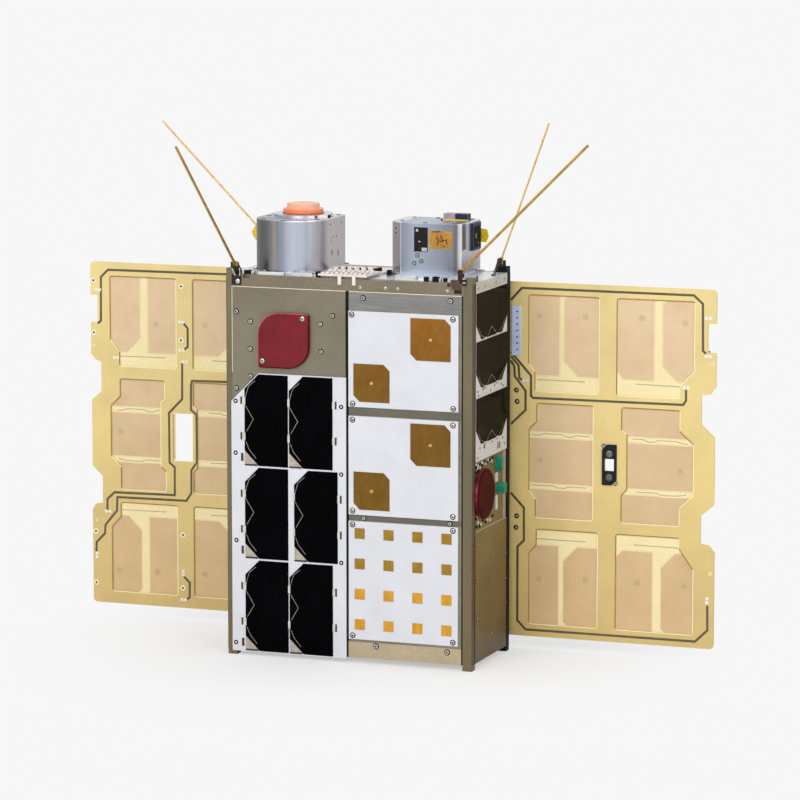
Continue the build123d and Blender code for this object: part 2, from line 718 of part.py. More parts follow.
blocks = []
right_y = y_face + right_wing_back
sensor_x0 = wing_x0 + sensor_near
sensor_x1 = sensor_x0 + sensor_w
sensor_x = sensor_x0 + sensor_w / 2
sensor_z0 = wing_middle - sensor_h / 2
sensor_z1 = wing_middle + sensor_h / 2
for side, s, board_y, edge, pockets in (
        ("right", 1, right_y, right_edge, right_pockets),
        ("left", -1, right_y + wing_layer, left_edge, left_pockets)):
    points = [(wing_x0, wing_z0), (wing_x0, wing_z1), (wing_x1, wing_z1)]
    points += [(wing_x1 - inset, anchors[anchor] + up) for anchor, inset, up in edge]
    points.append((wing_x1, wing_z0))
    face = upright_face([(s * x, z) for x, z in points])
    for z in (wing_z0, wing_z1):
        corner = face.vertices().sort_by_distance((s * wing_x1, 0, z))[0]
        face = fillet(corner, wing_corner_r)
    board = stand(face, board_y, board_y + wing_t)
    for row in pockets:
        face = upright_face([(s * x, z) for x, z in pocket_outline(*row)])
        board -= stand(fillet(face.vertices(), pocket_r), board_y - 1, board_y + pocket_depth)
    if side == "left":
        x0, x1 = sorted((s * (wing_x0 + window_near), s * (wing_x0 + window_far)))
        board -= box(x0, x1, board_y - 1, board_y + wing_t + 1,
                     wing_middle - window_h / 2, wing_middle + window_h / 2)
    else:
        half_w = sensor_hole_w / 2 + sensor_hole_clear
        half_h = sensor_hole_h / 2 + sensor_hole_clear
        board -= box(sensor_x - half_w, sensor_x + half_w, board_y - 1, board_y + wing_t + 1,
                     wing_middle - half_h, wing_middle + half_h)
    save(f"{side}_wing_board", board)
    back = board_y + wing_t
    wing_cells = [upright([(s * x, z) for x, z in outline], back, back + cell_t)
                  for outline in wing_cell_outlines()]
    save(f"{side}_wing_cells", *wing_cells)
    hinge_y = board_y + hinge_behind_wing
    leaves = []
    for z in (wing_middle - hinge_from_middle, wing_middle + hinge_from_middle):
        x0, x1 = sorted((s * hinge_x, s * (hinge_x + leaf_w)))
        leaf = box(x0, x1, back, back + leaf_t, z - leaf_half, z + leaf_half)
        leaf += cylinder_z(s * hinge_x, hinge_y, z - leaf_half, z + leaf_half, hinge_r)
        gap = fixed_half + leaf_gap
        x0, x1 = sorted((s * (hinge_x - hinge_r - 1), s * (hinge_x + hinge_r + leaf_gap)))
        leaf -= box(x0, x1, hinge_y - 3 * hinge_r, hinge_y + 3 * hinge_r, z - gap, z + gap)
        leaf -= cylinder_z(s * hinge_x, hinge_y, z - leaf_half - 1, z + leaf_half + 1,
                           hinge_pin_r + hinge_play)
        leaves.append(leaf)
        x0, x1 = sorted((s * (hinge_x - hinge_r), s * (hinge_x + block_to_axis)))
        block = box(x0, x1, y_face, hinge_y, z - fixed_half, z + fixed_half)
        block += cylinder_z(s * hinge_x, hinge_y, z - fixed_half, z + fixed_half, hinge_r)
        block += cylinder_z(s * hinge_x, hinge_y, z - leaf_half - 1, z + leaf_half + 1, hinge_pin_r)
        blocks.append(block)
    save(f"{side}_wing_leaves", *leaves)
save("hinge_blocks", *blocks)

# Small sensor board on the front of the right wing, two corners cropped, with a square opening
sensor = upright(
    [(sensor_x0, sensor_z0), (sensor_x1 - sensor_crop, sensor_z0), (sensor_x1, sensor_z0 + sensor_crop),
     (sensor_x1, sensor_z1), (sensor_x0 + sensor_crop, sensor_z1), (sensor_x0, sensor_z1 - sensor_crop)],
    right_y - sensor_t, right_y)
sensor -= box(sensor_x - sensor_hole_w / 2, sensor_x + sensor_hole_w / 2, right_y - sensor_t - 1,
              right_y + 1, wing_middle - sensor_hole_h / 2, wing_middle + sensor_hole_h / 2)
save("sensor_board", sensor)
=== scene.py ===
import math

import bmesh
import bpy
from mathutils import Matrix, Vector


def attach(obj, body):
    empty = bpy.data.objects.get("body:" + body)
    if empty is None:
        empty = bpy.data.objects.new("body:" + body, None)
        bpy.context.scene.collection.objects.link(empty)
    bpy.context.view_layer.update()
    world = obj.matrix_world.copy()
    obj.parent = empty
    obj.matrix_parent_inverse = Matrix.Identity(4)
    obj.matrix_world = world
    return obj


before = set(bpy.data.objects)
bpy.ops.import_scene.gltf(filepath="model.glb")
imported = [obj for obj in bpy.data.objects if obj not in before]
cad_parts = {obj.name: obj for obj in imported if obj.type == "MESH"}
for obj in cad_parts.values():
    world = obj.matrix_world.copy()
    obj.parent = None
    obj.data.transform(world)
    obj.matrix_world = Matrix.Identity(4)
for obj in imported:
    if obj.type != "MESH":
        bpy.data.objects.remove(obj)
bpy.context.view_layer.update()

bl_info = {
    "name": "Small box satellite",
    "version": (1, 0, 0),
    "blender": (4, 5, 0),
    "location": "3D view > Sidebar > Satellite",
    "description": "Finishes, cell wiring, screws, tracks and lit stage of a small satellite",
    "category": "Object",
}

MM = 0.001

# Which way is out of the body on each of its sides: along the side, up the side, outwards
SIDES = {
    "front": lambda a, b, out: (a, -out, b),
    "back": lambda a, b, out: (a, out, b),
    "right": lambda a, b, out: (out, a, b),
    "left": lambda a, b, out: (-out, a, b),
    "top": lambda a, b, out: (a, b, out),
}

# Outward depths of the surfaces that carry small parts, in mm
PLATE, BOARD, CELLS, COVER = 50.0, 51.6, 52.0, 53.0
SIDE_SKIN, SERVICE, REAR = 113.15, 112.15, 50.0
RIGHT_WING, LEFT_WING = -60.4, -71.4
# Heights of the roof, of the flanges on it, of the boards between the cans and of the left can's top
TOP, CANS, MIDDLE, LEFT_CAN = 335.6, 338.0, 339.0, 382.4
# Thickness of a wing and of a cell, depth of a pocket, and how far small parts are let into what carries them
WING_T, CELL_T, POCKET, SINK = 1.6, 0.4, 1.0, 0.1

# Solar cells: what they measure, then where their lower left corners are
CELL_W, CELL_H, CELL_CROP = 40.4, 80.4, 13.0
FRONT_CELLS = [(-95.7, 168.7), (-54.3, 168.7), (-95.7, 86.65), (-49.7, 86.65), (-95.7, 4.6), (-54.3, 4.6)]
SIDE_CELLS = (285.8, 244.0, 195.2)
REAR_CELLS = [(-82.3 + 41.4 * i, 26.0 + 82.05 * j) for i in range(4) for j in range(3)]
UPRIGHT_CELLS = [(x, z) for x in (114.5, 159, 200.5, 248.4) for z in (13, 244)]
LYING_CELLS = [(122, 102.6), (203, 102.6), (116, 148.3), (215.1, 148.3), (122, 194), (203, 194)]
# Heights between which the middle pockets lie, and the spots where glue shows through the pocket floors
MIDDLE_POCKETS = (112.0, 225.0)
RIGHT_GLUE = [(136.6, 296.4), (178.6, 297.4), (229.6, 298.3), (268.7, 295.6), (136.7, 63.6), (179.8, 65),
              (227.1, 65.2), (269.4, 65.1), (137.7, 169.2), (265.3, 166.2)]
LEFT_GLUE = [(-268.5, 170.8), (-271.4, 42), (-233.3, 42.7), (-185.9, 43.8), (-232.8, 270.7), (-184.7, 272)]
# Thin wire on a cell, as right of its left edge and down from its top, and how far down its tabs are
CELL_WIRES = [
    [(9.9, 5.8), (3.8, 10.9), (1.4, 18.3), (0.8, 21)],
    [(0.7, 27.6), (8.2, 39.6), (1.7, 50.6)],
    [(1.4, 59.7), (4.1, 66.2), (10.6, 74)],
]
CELL_TABS = (23.4, 54.8)

# Tracks on the front of each wing: points as x and z
RIGHT_TRACKS = [
    [(110.2, 309.3), (120.3, 320.3), (276.2, 320.4), (284.3, 313.4), (284.8, 272.7), (287.5, 270.2)],
    [(110.4, 263.5), (129, 243.4), (129.1, 225.4), (130.9, 223.8), (267.4, 224.7), (270.1, 228.4), (270, 238)],
    [(110.6, 259.6), (117.6, 251.6), (118.2, 240.6), (121.6, 239.2)],
    [(110.4, 256), (113.6, 250.6), (114, 242.2), (124, 229.7), (124.1, 212.8), (110.7, 199.7)],
    [(110.7, 138.6), (122.9, 125.8), (123.1, 96.7), (117.2, 90.8), (117.2, 24.7), (125, 16.9), (280.4, 17.1),
     (291.4, 27.8), (291.1, 49.7)],
]
LEFT_TRACKS = [
    [(-110.5, 319.6), (-279.3, 318.7), (-286.4, 311.9), (-286.8, 271.9), (-290, 269.2)],
    [(-206.1, 274), (-201.3, 268.5), (-201.4, 251.7), (-205.7, 248.4)],
    [(-206.9, 236.9), (-207.2, 203.8), (-220.3, 190.4), (-220.1, 144.9), (-215, 140.7), (-215.2, 115.1),
     (-275, 114.2), (-282.2, 107.6), (-282.3, 96.9)],
    [(-110.5, 222.6), (-197.4, 221), (-198.4, 217), (-198.6, 194.3), (-193.3, 190.2), (-193.2, 146.4),
     (-198.6, 139), (-198.8, 117.9), (-203.8, 110.5), (-272.2, 109.9), (-272.7, 97.5), (-284.4, 83.4),
     (-285, 75.4), (-293.4, 66.9), (-293.8, 57.9)],
    [(-207.6, 41.3), (-201.1, 35), (-201.2, 21.4), (-205.5, 18.4)],
]
# Solder pads as x, z, and whether their two halves lie side by side
RIGHT_PADS = [(124, 239.1, True), (270, 239.9, True), (290.7, 53.9, False), (289.2, 301, True),
              (289.4, 268.0, True)]
LEFT_PADS = [(-207.5, 274.1, True), (-207.5, 248.5, True), (-272.3, 238.5, True), (-204.6, 237.8, True),
             (-289.6, 300.2, True), (-281.6, 96.2, True), (-293.2, 55, False), (-207.4, 43.4, False),
             (-207.1, 18.8, True)]
# Cable crimps pressed into the back of each pocket: a low line with kinks, as x and z from the board's edge
CRIMPS = [
    [(134, 240.2), (178, 240)], [(224, 240.6), (270, 240)],
    [(129, 191.2), (137, 191), (140, 192.6), (158, 192.6), (162, 190.6), (166, 190.6), (170, 192.2), (182, 192.2)],
    [(222, 192.2), (232, 192.2), (236, 190.2), (241, 190.2), (245, 192), (262, 192), (267, 190.4), (272, 190)],
    [(129, 146.4), (150, 146.6), (153, 145), (160, 145), (164, 146.6), (180, 146.4)],
    [(226, 145.6), (244, 145.8), (248, 144), (262, 144.2), (271, 145.6)],
    [(134, 98.8), (180, 98.6)], [(224, 98.8), (268, 98.4)],
]
RIGHT_SCREWS = [(115.6, 230), (116.3, 219.9), (116.3, 118.2), (115.7, 107.8)]
LEFT_RIVETS = [(-294, 308.5), (-294, 260.8), (-207.5, 306.5), (-207.9, 257.5), (-294, 77.1), (-294, 29.3),
               (-207.4, 78.8), (-207.8, 29.7)]

# Light on the wings and on the cells' backs in them, from the ground up: heights in mm, and tints
WING_TINTS = [(20, "#E8E0D8"), (150, "#FAF5EC"), (300, "#FFFFFF")]
BED_TINTS = [(60, "#EFE8D9"), (170, "#F2EFE9"), (270, "#FDFBFB")]
TINT_TOP = 400

# Paper of the floor and of the room, where the lamps are aimed, and the camera from the fit to the photograph:
# degrees, metres, and the focal length as a share of the picture's width
PAPER = "#F7F7F7"
LAMP_TARGET = (0, 0, 0.17)
CAMERA = {"turn": 20.163, "rise": 8.515, "distance": 3.69115, "aside": 0.027338, "above": 0.052836,
          "target_height": 0.17025, "focal_length": 4222.553 / 800}


def linear(colour):
    """The linear numbers that a shader takes, from an sRGB hex colour, or from the name of a colour that the
    user set and how many times as bright it is to be."""
    if isinstance(colour, str):
        values = [int(colour[i:i + 2], 16) / 255 for i in (1, 3, 5)]
        return [v / 12.92 if v <= 0.04045 else ((v + 0.055) / 1.055) ** 2.4 for v in values] + [1.0]
    name, times = colour
    return [min(1.0, value * times) for value in getattr(bpy.context.scene.satellite_look, name)] + [1.0]


def add(tree, kind, sockets=None, stops=(), **settings):
    """Adds a shader node, sets its properties, and fills its sockets with numbers, or with links from other
    nodes or their outputs. Stops are places from 0 to 1 and colours, for a node that blends between them."""
    node = tree.nodes.new("ShaderNode" + kind)
    for key, value in settings.items():
        setattr(node, key, value)
    if stops:
        for at, _ in stops[2:]:
            node.color_ramp.elements.new(at)
        for element, (at, colour) in zip(node.color_ramp.elements, sorted(stops)):
            element.position = at
            element.color = linear(colour)
    for key, value in (sockets or {}).items():
        if isinstance(value, bpy.types.Node):
            value = next(output for output in value.outputs if output.enabled)
        if isinstance(value, bpy.types.NodeSocket):
            tree.links.new(value, node.inputs[key])
        else:
            node.inputs[key].default_value = value
    return node


def blank(name):
    """A new material with no nodes but its place on the object, in metres."""
    material = bpy.data.materials.new(name)
    material.use_nodes = True
    tree = material.node_tree
    tree.nodes.clear()
    return material, tree, add(tree, "TexCoord").outputs["Object"]


def shade(material, **sockets):
    """Ends a material in one surface shader."""
    tree = material.node_tree
    shader = add(tree, "BsdfPrincipled", {key.replace("_", " "): value for key, value in sockets.items()})
    add(tree, "OutputMaterial", {"Surface": shader})
    return material


def tinted(tree, place, tone, bands):
    """A colour with painted light over it, a tint that changes with height. Bands are heights in mm, and tints."""
    height = add(tree, "SeparateXYZ", {0: place}).outputs[2]
    share = add(tree, "MapRange", {0: height, 1: 0.0, 2: TINT_TOP * MM})
    tint = add(tree, "ValToRGB", {0: share}, [(up / TINT_TOP, colour) for up, colour in bands])
    return add(tree, "Mix", {0: 1.0, 6: tone, 7: tint}, data_type="RGBA", blend_type="MULTIPLY")


def finish(name, dark, light, patch, grain, rough=(0.4, 0.5), relief=0.003, metal=0.0, stretch=(1, 1, 1), bands=None,
           **more):
    """A worked surface: patches of colour, and a finer grain that changes its shine and stands proud.
    Patch, grain and relief are in mm, and the grain is drawn out along the small numbers in stretch. Metal is
    how much of it shines as bare metal does.
    Bands tint it from the ground up, where the light of a room falls off."""
    material, tree, place = blank(name)
    cloud = add(tree, "TexNoise", {"Vector": place, "Scale": 1000 / patch, "Detail": 4.0, "Roughness": 0.6})
    drawn = add(tree, "Mapping", {"Vector": place, "Scale": stretch})
    fine = add(tree, "TexNoise", {"Vector": drawn, "Scale": 1000 / grain, "Detail": 3.0})
    both = add(tree, "Math", {0: cloud, 1: fine}, operation="ADD")
    share = add(tree, "MapRange", {0: both, 1: 0.75, 2: 1.25})
    tone = add(tree, "Mix", {0: share, 6: linear(dark), 7: linear(light)}, data_type="RGBA")
    if bands:
        tone = tinted(tree, place, tone, bands)
    shine = add(tree, "MapRange", {0: fine, 1: 0.3, 2: 0.7, 3: rough[0], 4: rough[1]})
    bump = add(tree, "Bump", {"Height": fine, "Distance": relief * MM, "Strength": 1.0})
    return shade(material, Base_Color=tone, Roughness=shine, Normal=bump, Metallic=metal, **more)


def laminate(name, dark, light, pitch=1.6):
    """Bare glass laminate: warm yellow, with the crossed threads of its glass cloth just showing through a
    smooth resin face. The threads are drawn 1.6 mm apart, coarser than the real 0.5 mm, so that they show."""
    material, tree, place = blank(name)
    cloud = add(tree, "TexNoise", {"Vector": place, "Scale": 1000 / 70, "Detail": 5.0, "Roughness": 0.65})
    warp, weft = (add(tree, "TexWave", {"Vector": place, "Scale": 1000 / pitch / 20, "Distortion": 0.6},
                      bands_direction=way).outputs["Fac"] for way in "XZ")
    cloth = add(tree, "Math", {0: warp, 1: weft}, operation="MULTIPLY")
    share = add(tree, "MapRange", {0: cloud, 1: 0.32, 2: 0.68})
    tone = add(tree, "Mix", {0: share, 6: linear(dark), 7: linear(light)}, data_type="RGBA")
    thread = add(tree, "MapRange", {0: cloth, 3: 0.0, 4: 0.12})
    woven = add(tree, "Mix", {0: thread, 6: tone, 7: linear(dark)}, data_type="RGBA")
    shine = add(tree, "MapRange", {0: cloud, 3: 0.34, 4: 0.48})
    bump = add(tree, "Bump", {"Height": cloth, "Distance": 0.02 * MM, "Strength": 0.6})
    return shade(material, Base_Color=tinted(tree, place, woven, WING_TINTS), Roughness=shine, Normal=bump, IOR=1.55)


def bonded_cell_bed(name, dark, light, pitch=1.4):
    """The glued back of a solar cell seen through thin laminate: pink brown, with fine rows of dots where
    the adhesive was printed through a mesh."""
    material, tree, place = blank(name)
    cloud = add(tree, "TexNoise", {"Vector": place, "Scale": 1000 / 35, "Detail": 5.0, "Roughness": 0.7})
    dots = add(tree, "TexVoronoi", {"Vector": place, "Scale": 1000 / pitch, "Randomness": 0.25})
    share = add(tree, "MapRange", {0: cloud, 1: 0.3, 2: 0.7})
    tone = add(tree, "Mix", {0: share, 6: linear(dark), 7: linear(light)}, data_type="RGBA")
    spots = add(tree, "MapRange", {0: dots, 1: 0.15, 2: 0.4, 3: 0.22, 4: 0.0})
    dotted = add(tree, "Mix", {0: spots, 6: tone, 7: linear(dark)}, data_type="RGBA")
    shine = add(tree, "MapRange", {0: cloud, 3: 0.4, 4: 0.55})
    return shade(material, Base_Color=tinted(tree, place, dotted, BED_TINTS), Roughness=shine, IOR=1.5)


def banded_metal(name, stops, centre=None, span=None):
    """Bare metal with a painted reflection: the dark and light of a room painted on its wall as soft upright bands,
    round an upright axis where a centre is given, or else from left to right across the span. Stops are places from 0
    to 1."""
    material, tree, place = blank(name)
    x, y, _ = add(tree, "SeparateXYZ", {0: place}).outputs
    if centre:
        aside, back = (add(tree, "Math", {0: axis, 1: -c * MM}, operation="ADD") for axis, c in zip((x, y), centre))
        turn = add(tree, "Math", {0: back, 1: aside}, operation="ARCTAN2")
        share = add(tree, "MapRange", {0: turn, 1: -math.pi, 2: math.pi})
    else:
        share = add(tree, "MapRange", {0: x, 1: span[0] * MM, 2: span[1] * MM})
    drawn = add(tree, "Mapping", {"Vector": place, "Scale": (1, 1, 0.12)})
    fine = add(tree, "TexNoise", {"Vector": drawn, "Scale": 1000 / 2.4, "Detail": 3.0})
    worn = add(tree, "MapRange", {0: fine, 1: 0.35, 2: 0.65, 3: 0.0, 4: 0.03})
    wall = add(tree, "ValToRGB", {0: share}, stops)
    tone = add(tree, "Mix", {0: worn, 6: wall, 7: linear("#DDE0E6")}, data_type="RGBA")
    shine = add(tree, "MapRange", {0: fine, 1: 0.3, 2: 0.7, 3: 0.28, 4: 0.3})
    bump = add(tree, "Bump", {"Height": fine, "Distance": 0.0003 * MM, "Strength": 1.0})
    return shade(material, Base_Color=tone, Roughness=shine, Normal=bump, Metallic=0.9)


def stage_floor(name, pale):
    """Pale paper: it takes a soft shadow close to the satellite, and further out it is as bright as the
    white behind, so that no edge shows."""
    material, tree, place = blank(name)
    away = add(tree, "VectorMath", {0: place}, operation="LENGTH").outputs["Value"]
    far = add(tree, "MapRange", {0: away, 1: 0.1, 2: 0.34, 3: 0.5}, interpolation_type="SMOOTHSTEP")
    ray = add(tree, "LightPath")
    seen = add(tree, "Math", {0: far, 1: ray.outputs["Is Camera Ray"]}, operation="MULTIPLY")
    fibre = add(tree, "TexNoise", {"Vector": place, "Scale": 1000 / 3})
    rough = add(tree, "MapRange", {0: fibre, 3: 0.85, 4: 0.95})
    paper = add(tree, "BsdfPrincipled", {"Base Color": linear(pale), "Roughness": rough})
    glow = add(tree, "Emission", {"Color": linear(pale), "Strength": 1.0})
    mix = add(tree, "MixShader", {0: seen, 1: paper, 2: glow})
    add(tree, "OutputMaterial", {"Surface": mix})
    return material


MAKERS = {"turned": banded_metal, "milled_can": banded_metal, "laminate": laminate, "bed": bonded_cell_bed}
FINISHES = {
    # Anodised after bead blasting: fine even grain, satin, a metal sheen under the olive layer. Its bands are painted
    # light, a little dimmer and warmer towards the ground
    "anodised": ("bronze_anodised", "hard_anodised_olive", ("frame_colour", 0.82), ("frame_colour", 1.14), 55, 0.5,
        (0.42, 0.56), 0.004, 0.1, dict(bands=[(60, "#FFF0E6"), (200, "#F4F6F2"), (300, "#FFFFFF")],
        Specular_IOR_Level=0.35)),
    # The same on milled bars: browner, with the marks of the cutter along them
    "anodised_bar": ("bronze_anodised", "olive_anodised_bar", "#6E6452", "#827762", 50, 0.6, (0.34, 0.48), 0.004, 0.3,
        dict(stretch=(0.2, 1, 1))),
    # Bottom frame: bead blasted longer, so that the layer came out thin and sandy
    "anodised_low": ("bronze_anodised", "sandy_anodised_frame", "#A5967A", "#BEAD8E", 40, 0.6, (0.36, 0.5), 0.004,
        0.3, dict(stretch=(0.3, 1, 1))),
    # Rolled plates, anodised as they came: even, greener on the front and browner on the sides, where the brown is a
    # painted reflection of the yellow wings; bands of painted light darken the sides towards the ground
    "anodised_plate": ("bronze_anodised", "olive_anodised_plate", "#6F6857", "#837C69", 70, 0.6, (0.36, 0.5), 0.004,
        0.4),
    "anodised_side": ("bronze_anodised", "brown_anodised_side", "#6F5F3A", "#87754A", 50, 0.6, (0.36, 0.5), 0.004,
        0.3, dict(stretch=(1, 1, 0.2), bands=[(5, "#C9BEB0"), (70, "#F4F0EA"), (120, "#FFFFFF")])),
    # The layer in the shade, between rail and plate and between two boards
    "anodised_shade": ("bronze_anodised", "shaded_anodised_edge", "#382E1E", "#4E432D", 40, 0.6, (0.4, 0.55), 0.003,
        dict(stretch=(1, 1, 0.2))),
    "anodised_gap_shade": ("bronze_anodised", "brown_anodised_strip", "#5B564B", "#696457", 40, 0.6, (0.4, 0.55), 0.003,
        0.2, dict(stretch=(0.3, 1, 1))),
    # Dyed black and sealed: deep, with a dull shine
    "black_anodised": ("black_anodised", "black_anodised", "#040404", "#0A0A0B", 40, 0.5, (0.45, 0.6), 0.003,
        dict(Specular_IOR_Level=0.12)),
    # Rolled and brushed along its length, then conversion coated: long fine lines. Its bands are painted light: a dim
    # tint, warmer below the top board than above it
    "brushed_plate": ("brushed_aluminium", "brushed_grey_plate", "#8A9189", "#AAADA5", 60, 0.7, (0.28, 0.5), 0.012,
        0.6, dict(stretch=(0.03, 1, 1), bands=[(300, "#D4C6B6"), (312, "#D2CBCF")])),
    # Turned and left bare: fine lines round the wall, blurred by the soft lamps. Its soft upright bands round the axis
    # are a painted reflection of the room and the lamps
    "turned": ("bare_aluminium", "turned_aluminium", [(0.04, "#8D9098"), (0.1, "#727174"), (0.15, "#68696C"),
        (0.18, "#6B6F74"), (0.205, "#878589"), (0.222, "#A09A98"), (0.236, "#878990"), (0.262, "#8B93A3"),
        (0.28, "#A6AAB8"), (0.31, "#BCC0CF"), (0.345, "#AAB1C1"), (0.365, "#A2A6B3"), (0.385, "#BEC0CC"),
        (0.43, "#C6C4CA"), (0.46, "#B8B6BE"), (0.5, "#D6CDCE"), (0.66, "#CEC6C8"), (0.7, "#9A9DA6")],
        dict(centre=(-65.3, -11.0))),
    # Milled can: the same painted reflection as bands across it from left to right, sharper, with painted shade and
    # painted highlight where its corners are cut off
    "milled_can": ("bare_aluminium", "milled_aluminium_can", [(0.0, "#D0CACA"), (0.155, "#CFCBCC"),
        (0.165, "#C8CACE"), (0.185, "#858E9C"), (0.35, "#A2AAB7"), (0.6, "#969DAA"), (0.88, "#7C818B"),
        (0.905, "#6E6C6A"), (0.935, "#74726F"), (0.95, "#AFB4BE"), (0.99, "#D8DADF"), (1.0, "#D6D3DA")],
        dict(span=(21.8, 89.2))),
    "milled": ("bare_aluminium", "milled_aluminium", "#B8BECA", "#D4D9E2", 18, 1.2, (0.24, 0.36), 0.002, 0.9,
        dict(stretch=(0.3, 1, 1))),
    "clear_coated": ("bare_aluminium", "clear_anodised_aluminium", "#C3C6C6", "#E0E1E0", 25, 0.6, (0.25, 0.4), 0.004,
        0.7),
    # White solder mask over glass laminate: smooth and slightly blue
    "white_mask": ("white_board", "white_solder_mask", ("board_colour", 0.95), ("board_colour", 1.05), 30, 1.2,
        (0.26, 0.36), 0.004, dict(IOR=1.5)),
    "white_mask_warm": ("white_board", "white_board_bare", "#DAD2CC", "#ECE5DF", 20, 1.2, (0.4, 0.5), 0.004,
        dict(IOR=1.5)),
    # Coated cover glass over a dark cell: the coating kills most of the reflection
    "cell": ("solar_cell", "coated_solar_cell", "#010102", "#040508", 40, 1.5, (0.1, 0.18), 0.001,
        dict(stretch=(1, 1, 0.05), Specular_IOR_Level=0.02)),
    # Silver ribbon, flattened: bright, with small dents
    "ribbon": ("bare_aluminium", "flattened_silver_ribbon", "#7E796F", "#AFA99D", 5, 0.6, (0.3, 0.5), 0.01, 0.7),
    "tab": ("bare_aluminium", "welded_silver_tab", "#BFB4A8", "#E6DCD2", 3, 0.6, (0.3, 0.5), 0.01, 0.3),
    "diode": ("bare_aluminium", "diode_wafer_back", "#978D83", "#C0B7AA", 3, 0.5, (0.4, 0.6), 0.01, 0.3),
    "tab_dark": ("black_plastic", "cell_tab_adhesive", "#1A1210", "#382720", 4, 0.6, (0.4, 0.6), 0.01),
    # Anodised red over fine turning: matte, with faint upright lines
    "red": ("red_anodised", "red_anodised", ("cover_colour", 0.7), ("cover_colour", 1.2), 30, 0.7, (0.46, 0.6), 0.01,
        0.2, dict(stretch=(1, 1, 0.05), Specular_IOR_Level=0.3)),
    # Painted shade: the same red, darker, on the round cover's face, which turns away from the lamps, and on the shaded
    # edges of the red cover
    "red_dark": ("red_anodised", "red_anodised_face", ("cover_colour", 0.2), ("cover_colour", 0.42), 30, 0.7,
        (0.5, 0.62), 0.01, dict(stretch=(1, 0.05, 1), Specular_IOR_Level=0.06)),
    # The same red, lighter, as a painted highlight on a polished wall or edge, which also throws the lamp back
    "red_wall_highlight": ("red_anodised", "red_anodised_polished_wall", "#7A202C", "#A43E4C", 12, 0.7, (0.2, 0.3), 0.002, 0.6),
    "red_rim": ("red_anodised", "red_anodised_edge", "#A8404E", "#C4606C", 20, 0.7, (0.3, 0.4), 0.003, 0.3),
    # Thin gold over nickel: cloudy where the plating bath left it uneven. Its bands are painted reflection, tinting
    # each patch by its height: near white low down, blue grey in the middle, grey olive higher up
    "gold": ("gold_plate", "gold_plated_patch", "#CA8A1C", "#E3A438", 14, 1.1, (0.36, 0.52), 0.004, 0.6,
        dict(stretch=(1, 1, 0.12), bands=[(73, "#F6FFFF"), (78, "#BACAEC"), (126, "#BACAEC"), (130, "#888A7A"),
        (215, "#888A80"), (222, "#8A8C7C"), (250, "#8E8C7A"), (305, "#AA9E8E")])),
    "feed": ("gold_plate", "soldered_feed_pin", "#C48836", "#E2B066", 2, 0.5, (0.3, 0.45), 0.003, 0.2),
    "gilt": ("brass_rod", "gilt_spring_rod", "#9E7832", "#D2A95A", 12, 1.0, (0.18, 0.28), 0.002, 0.9,
        dict(stretch=(1, 1, 0.2))),
    # Moulded plastics: fine spark eroded grain from the mould
    "green": ("green_plastic", "moulded_green_plastic", "#006F56", "#0F9E80", 5, 0.8, (0.3, 0.45), 0.02,
        dict(stretch=(1, 1, 2.5))),
    "green_rib": ("green_plastic", "moulded_green_rib", "#014A3A", "#05705A", 5, 0.8, (0.3, 0.45), 0.02),
    # Its bands are painted light and shade: darker low on the cap, lighter on its steps, and untinted on the top face
    # that the lamps light
    "orange": ("orange_plastic", "moulded_orange_plastic", "#EEB08E", "#F6C8AA", 18, 0.8, (0.4, 0.55), 0.01,
        dict(bands=[(384.4, "#D88466"), (385.4, "#FFB08E"), (388.1, "#FFB898"), (388.6, "#FFFFFF")])),
    # Painted shadow: a dark orange ring where the groove round the cap lies in shade
    "groove": ("orange_plastic", "shadow_groove", "#7E2C12", "#A94A24", 6, 0.8, (0.5, 0.6)),
    "black_plastic": ("black_plastic", "moulded_black_plastic", "#060607", "#101013", 8, 0.7, (0.4, 0.55), 0.012,
        dict(Specular_IOR_Level=0.25)),
    "navy_plastic": ("black_plastic", "moulded_navy_plastic", "#0E1230", "#1D2248", 6, 0.7, (0.35, 0.5), 0.012,
        dict(Specular_IOR_Level=0.3)),
    "lavender": ("black_plastic", "heat_shrunk_sleeve", "#8C7C92", "#B3A3B5", 6, 0.7, (0.35, 0.5), 0.02),
    # Root of a spring rod: burnt looking dry film lubricant over steel
    "dark_root": ("black_anodised", "dry_film_on_steel", "#100C0B", "#33251F", 3, 0.5, (0.4, 0.6), 0.01, 0.2,
        dict(Specular_IOR_Level=0.3)),
    "amber_guide": ("black_anodised", "amber_film_on_guide", "#33241A", "#64482E", 4, 0.6, (0.3, 0.5), 0.01, 0.2),
    # The wings' laminate, its thin webs, and what shows through or beside them
    "laminate": ("yellow_laminate", "yellow_glass_laminate", ("wing_colour", 0.9), ("wing_colour", 1.08)),
    "pale_resin": ("yellow_laminate", "thin_laminate_web", "#EEDCA2", "#F7E8B6", 30, 1.4, (0.36, 0.5), 0.006,
        dict(IOR=1.55)),
    # Painted shadow and painted highlight: thin lines along the pocket walls, dark where shade falls and light where
    # the lamps fall
    "rim_dark": ("yellow_laminate", "pocket_rim_shadow", "#8A6A34", "#A98646", 8, 0.8, (0.5, 0.6)),
    "rim_light": ("yellow_laminate", "pocket_rim_light", "#FBEBB4", "#FFF5CE", 8, 0.8),
    "crimp": ("yellow_laminate", "cable_crimp_shadow", "#ABA378", "#C0B88C", 8, 0.8, (0.4, 0.6), 0.02),
    "bed": ("yellow_laminate", "cell_seen_through_laminate", "#DBBE95", "#E7CDA4"),
    "bed_edge": ("yellow_laminate", "blurred_cell_edge", "#E8D2A0", "#F1DDAE", 12, 1.2),
    "glue_halo": ("yellow_laminate", "glue_seen_faintly", "#D2BB92", "#DCC59B", 4, 1.2, dict(bands=BED_TINTS)),
    "glue_spot": ("yellow_laminate", "glue_seen_through_laminate", "#C2B38A", "#CEBE95", 3, 1.2,
        dict(bands=BED_TINTS)),
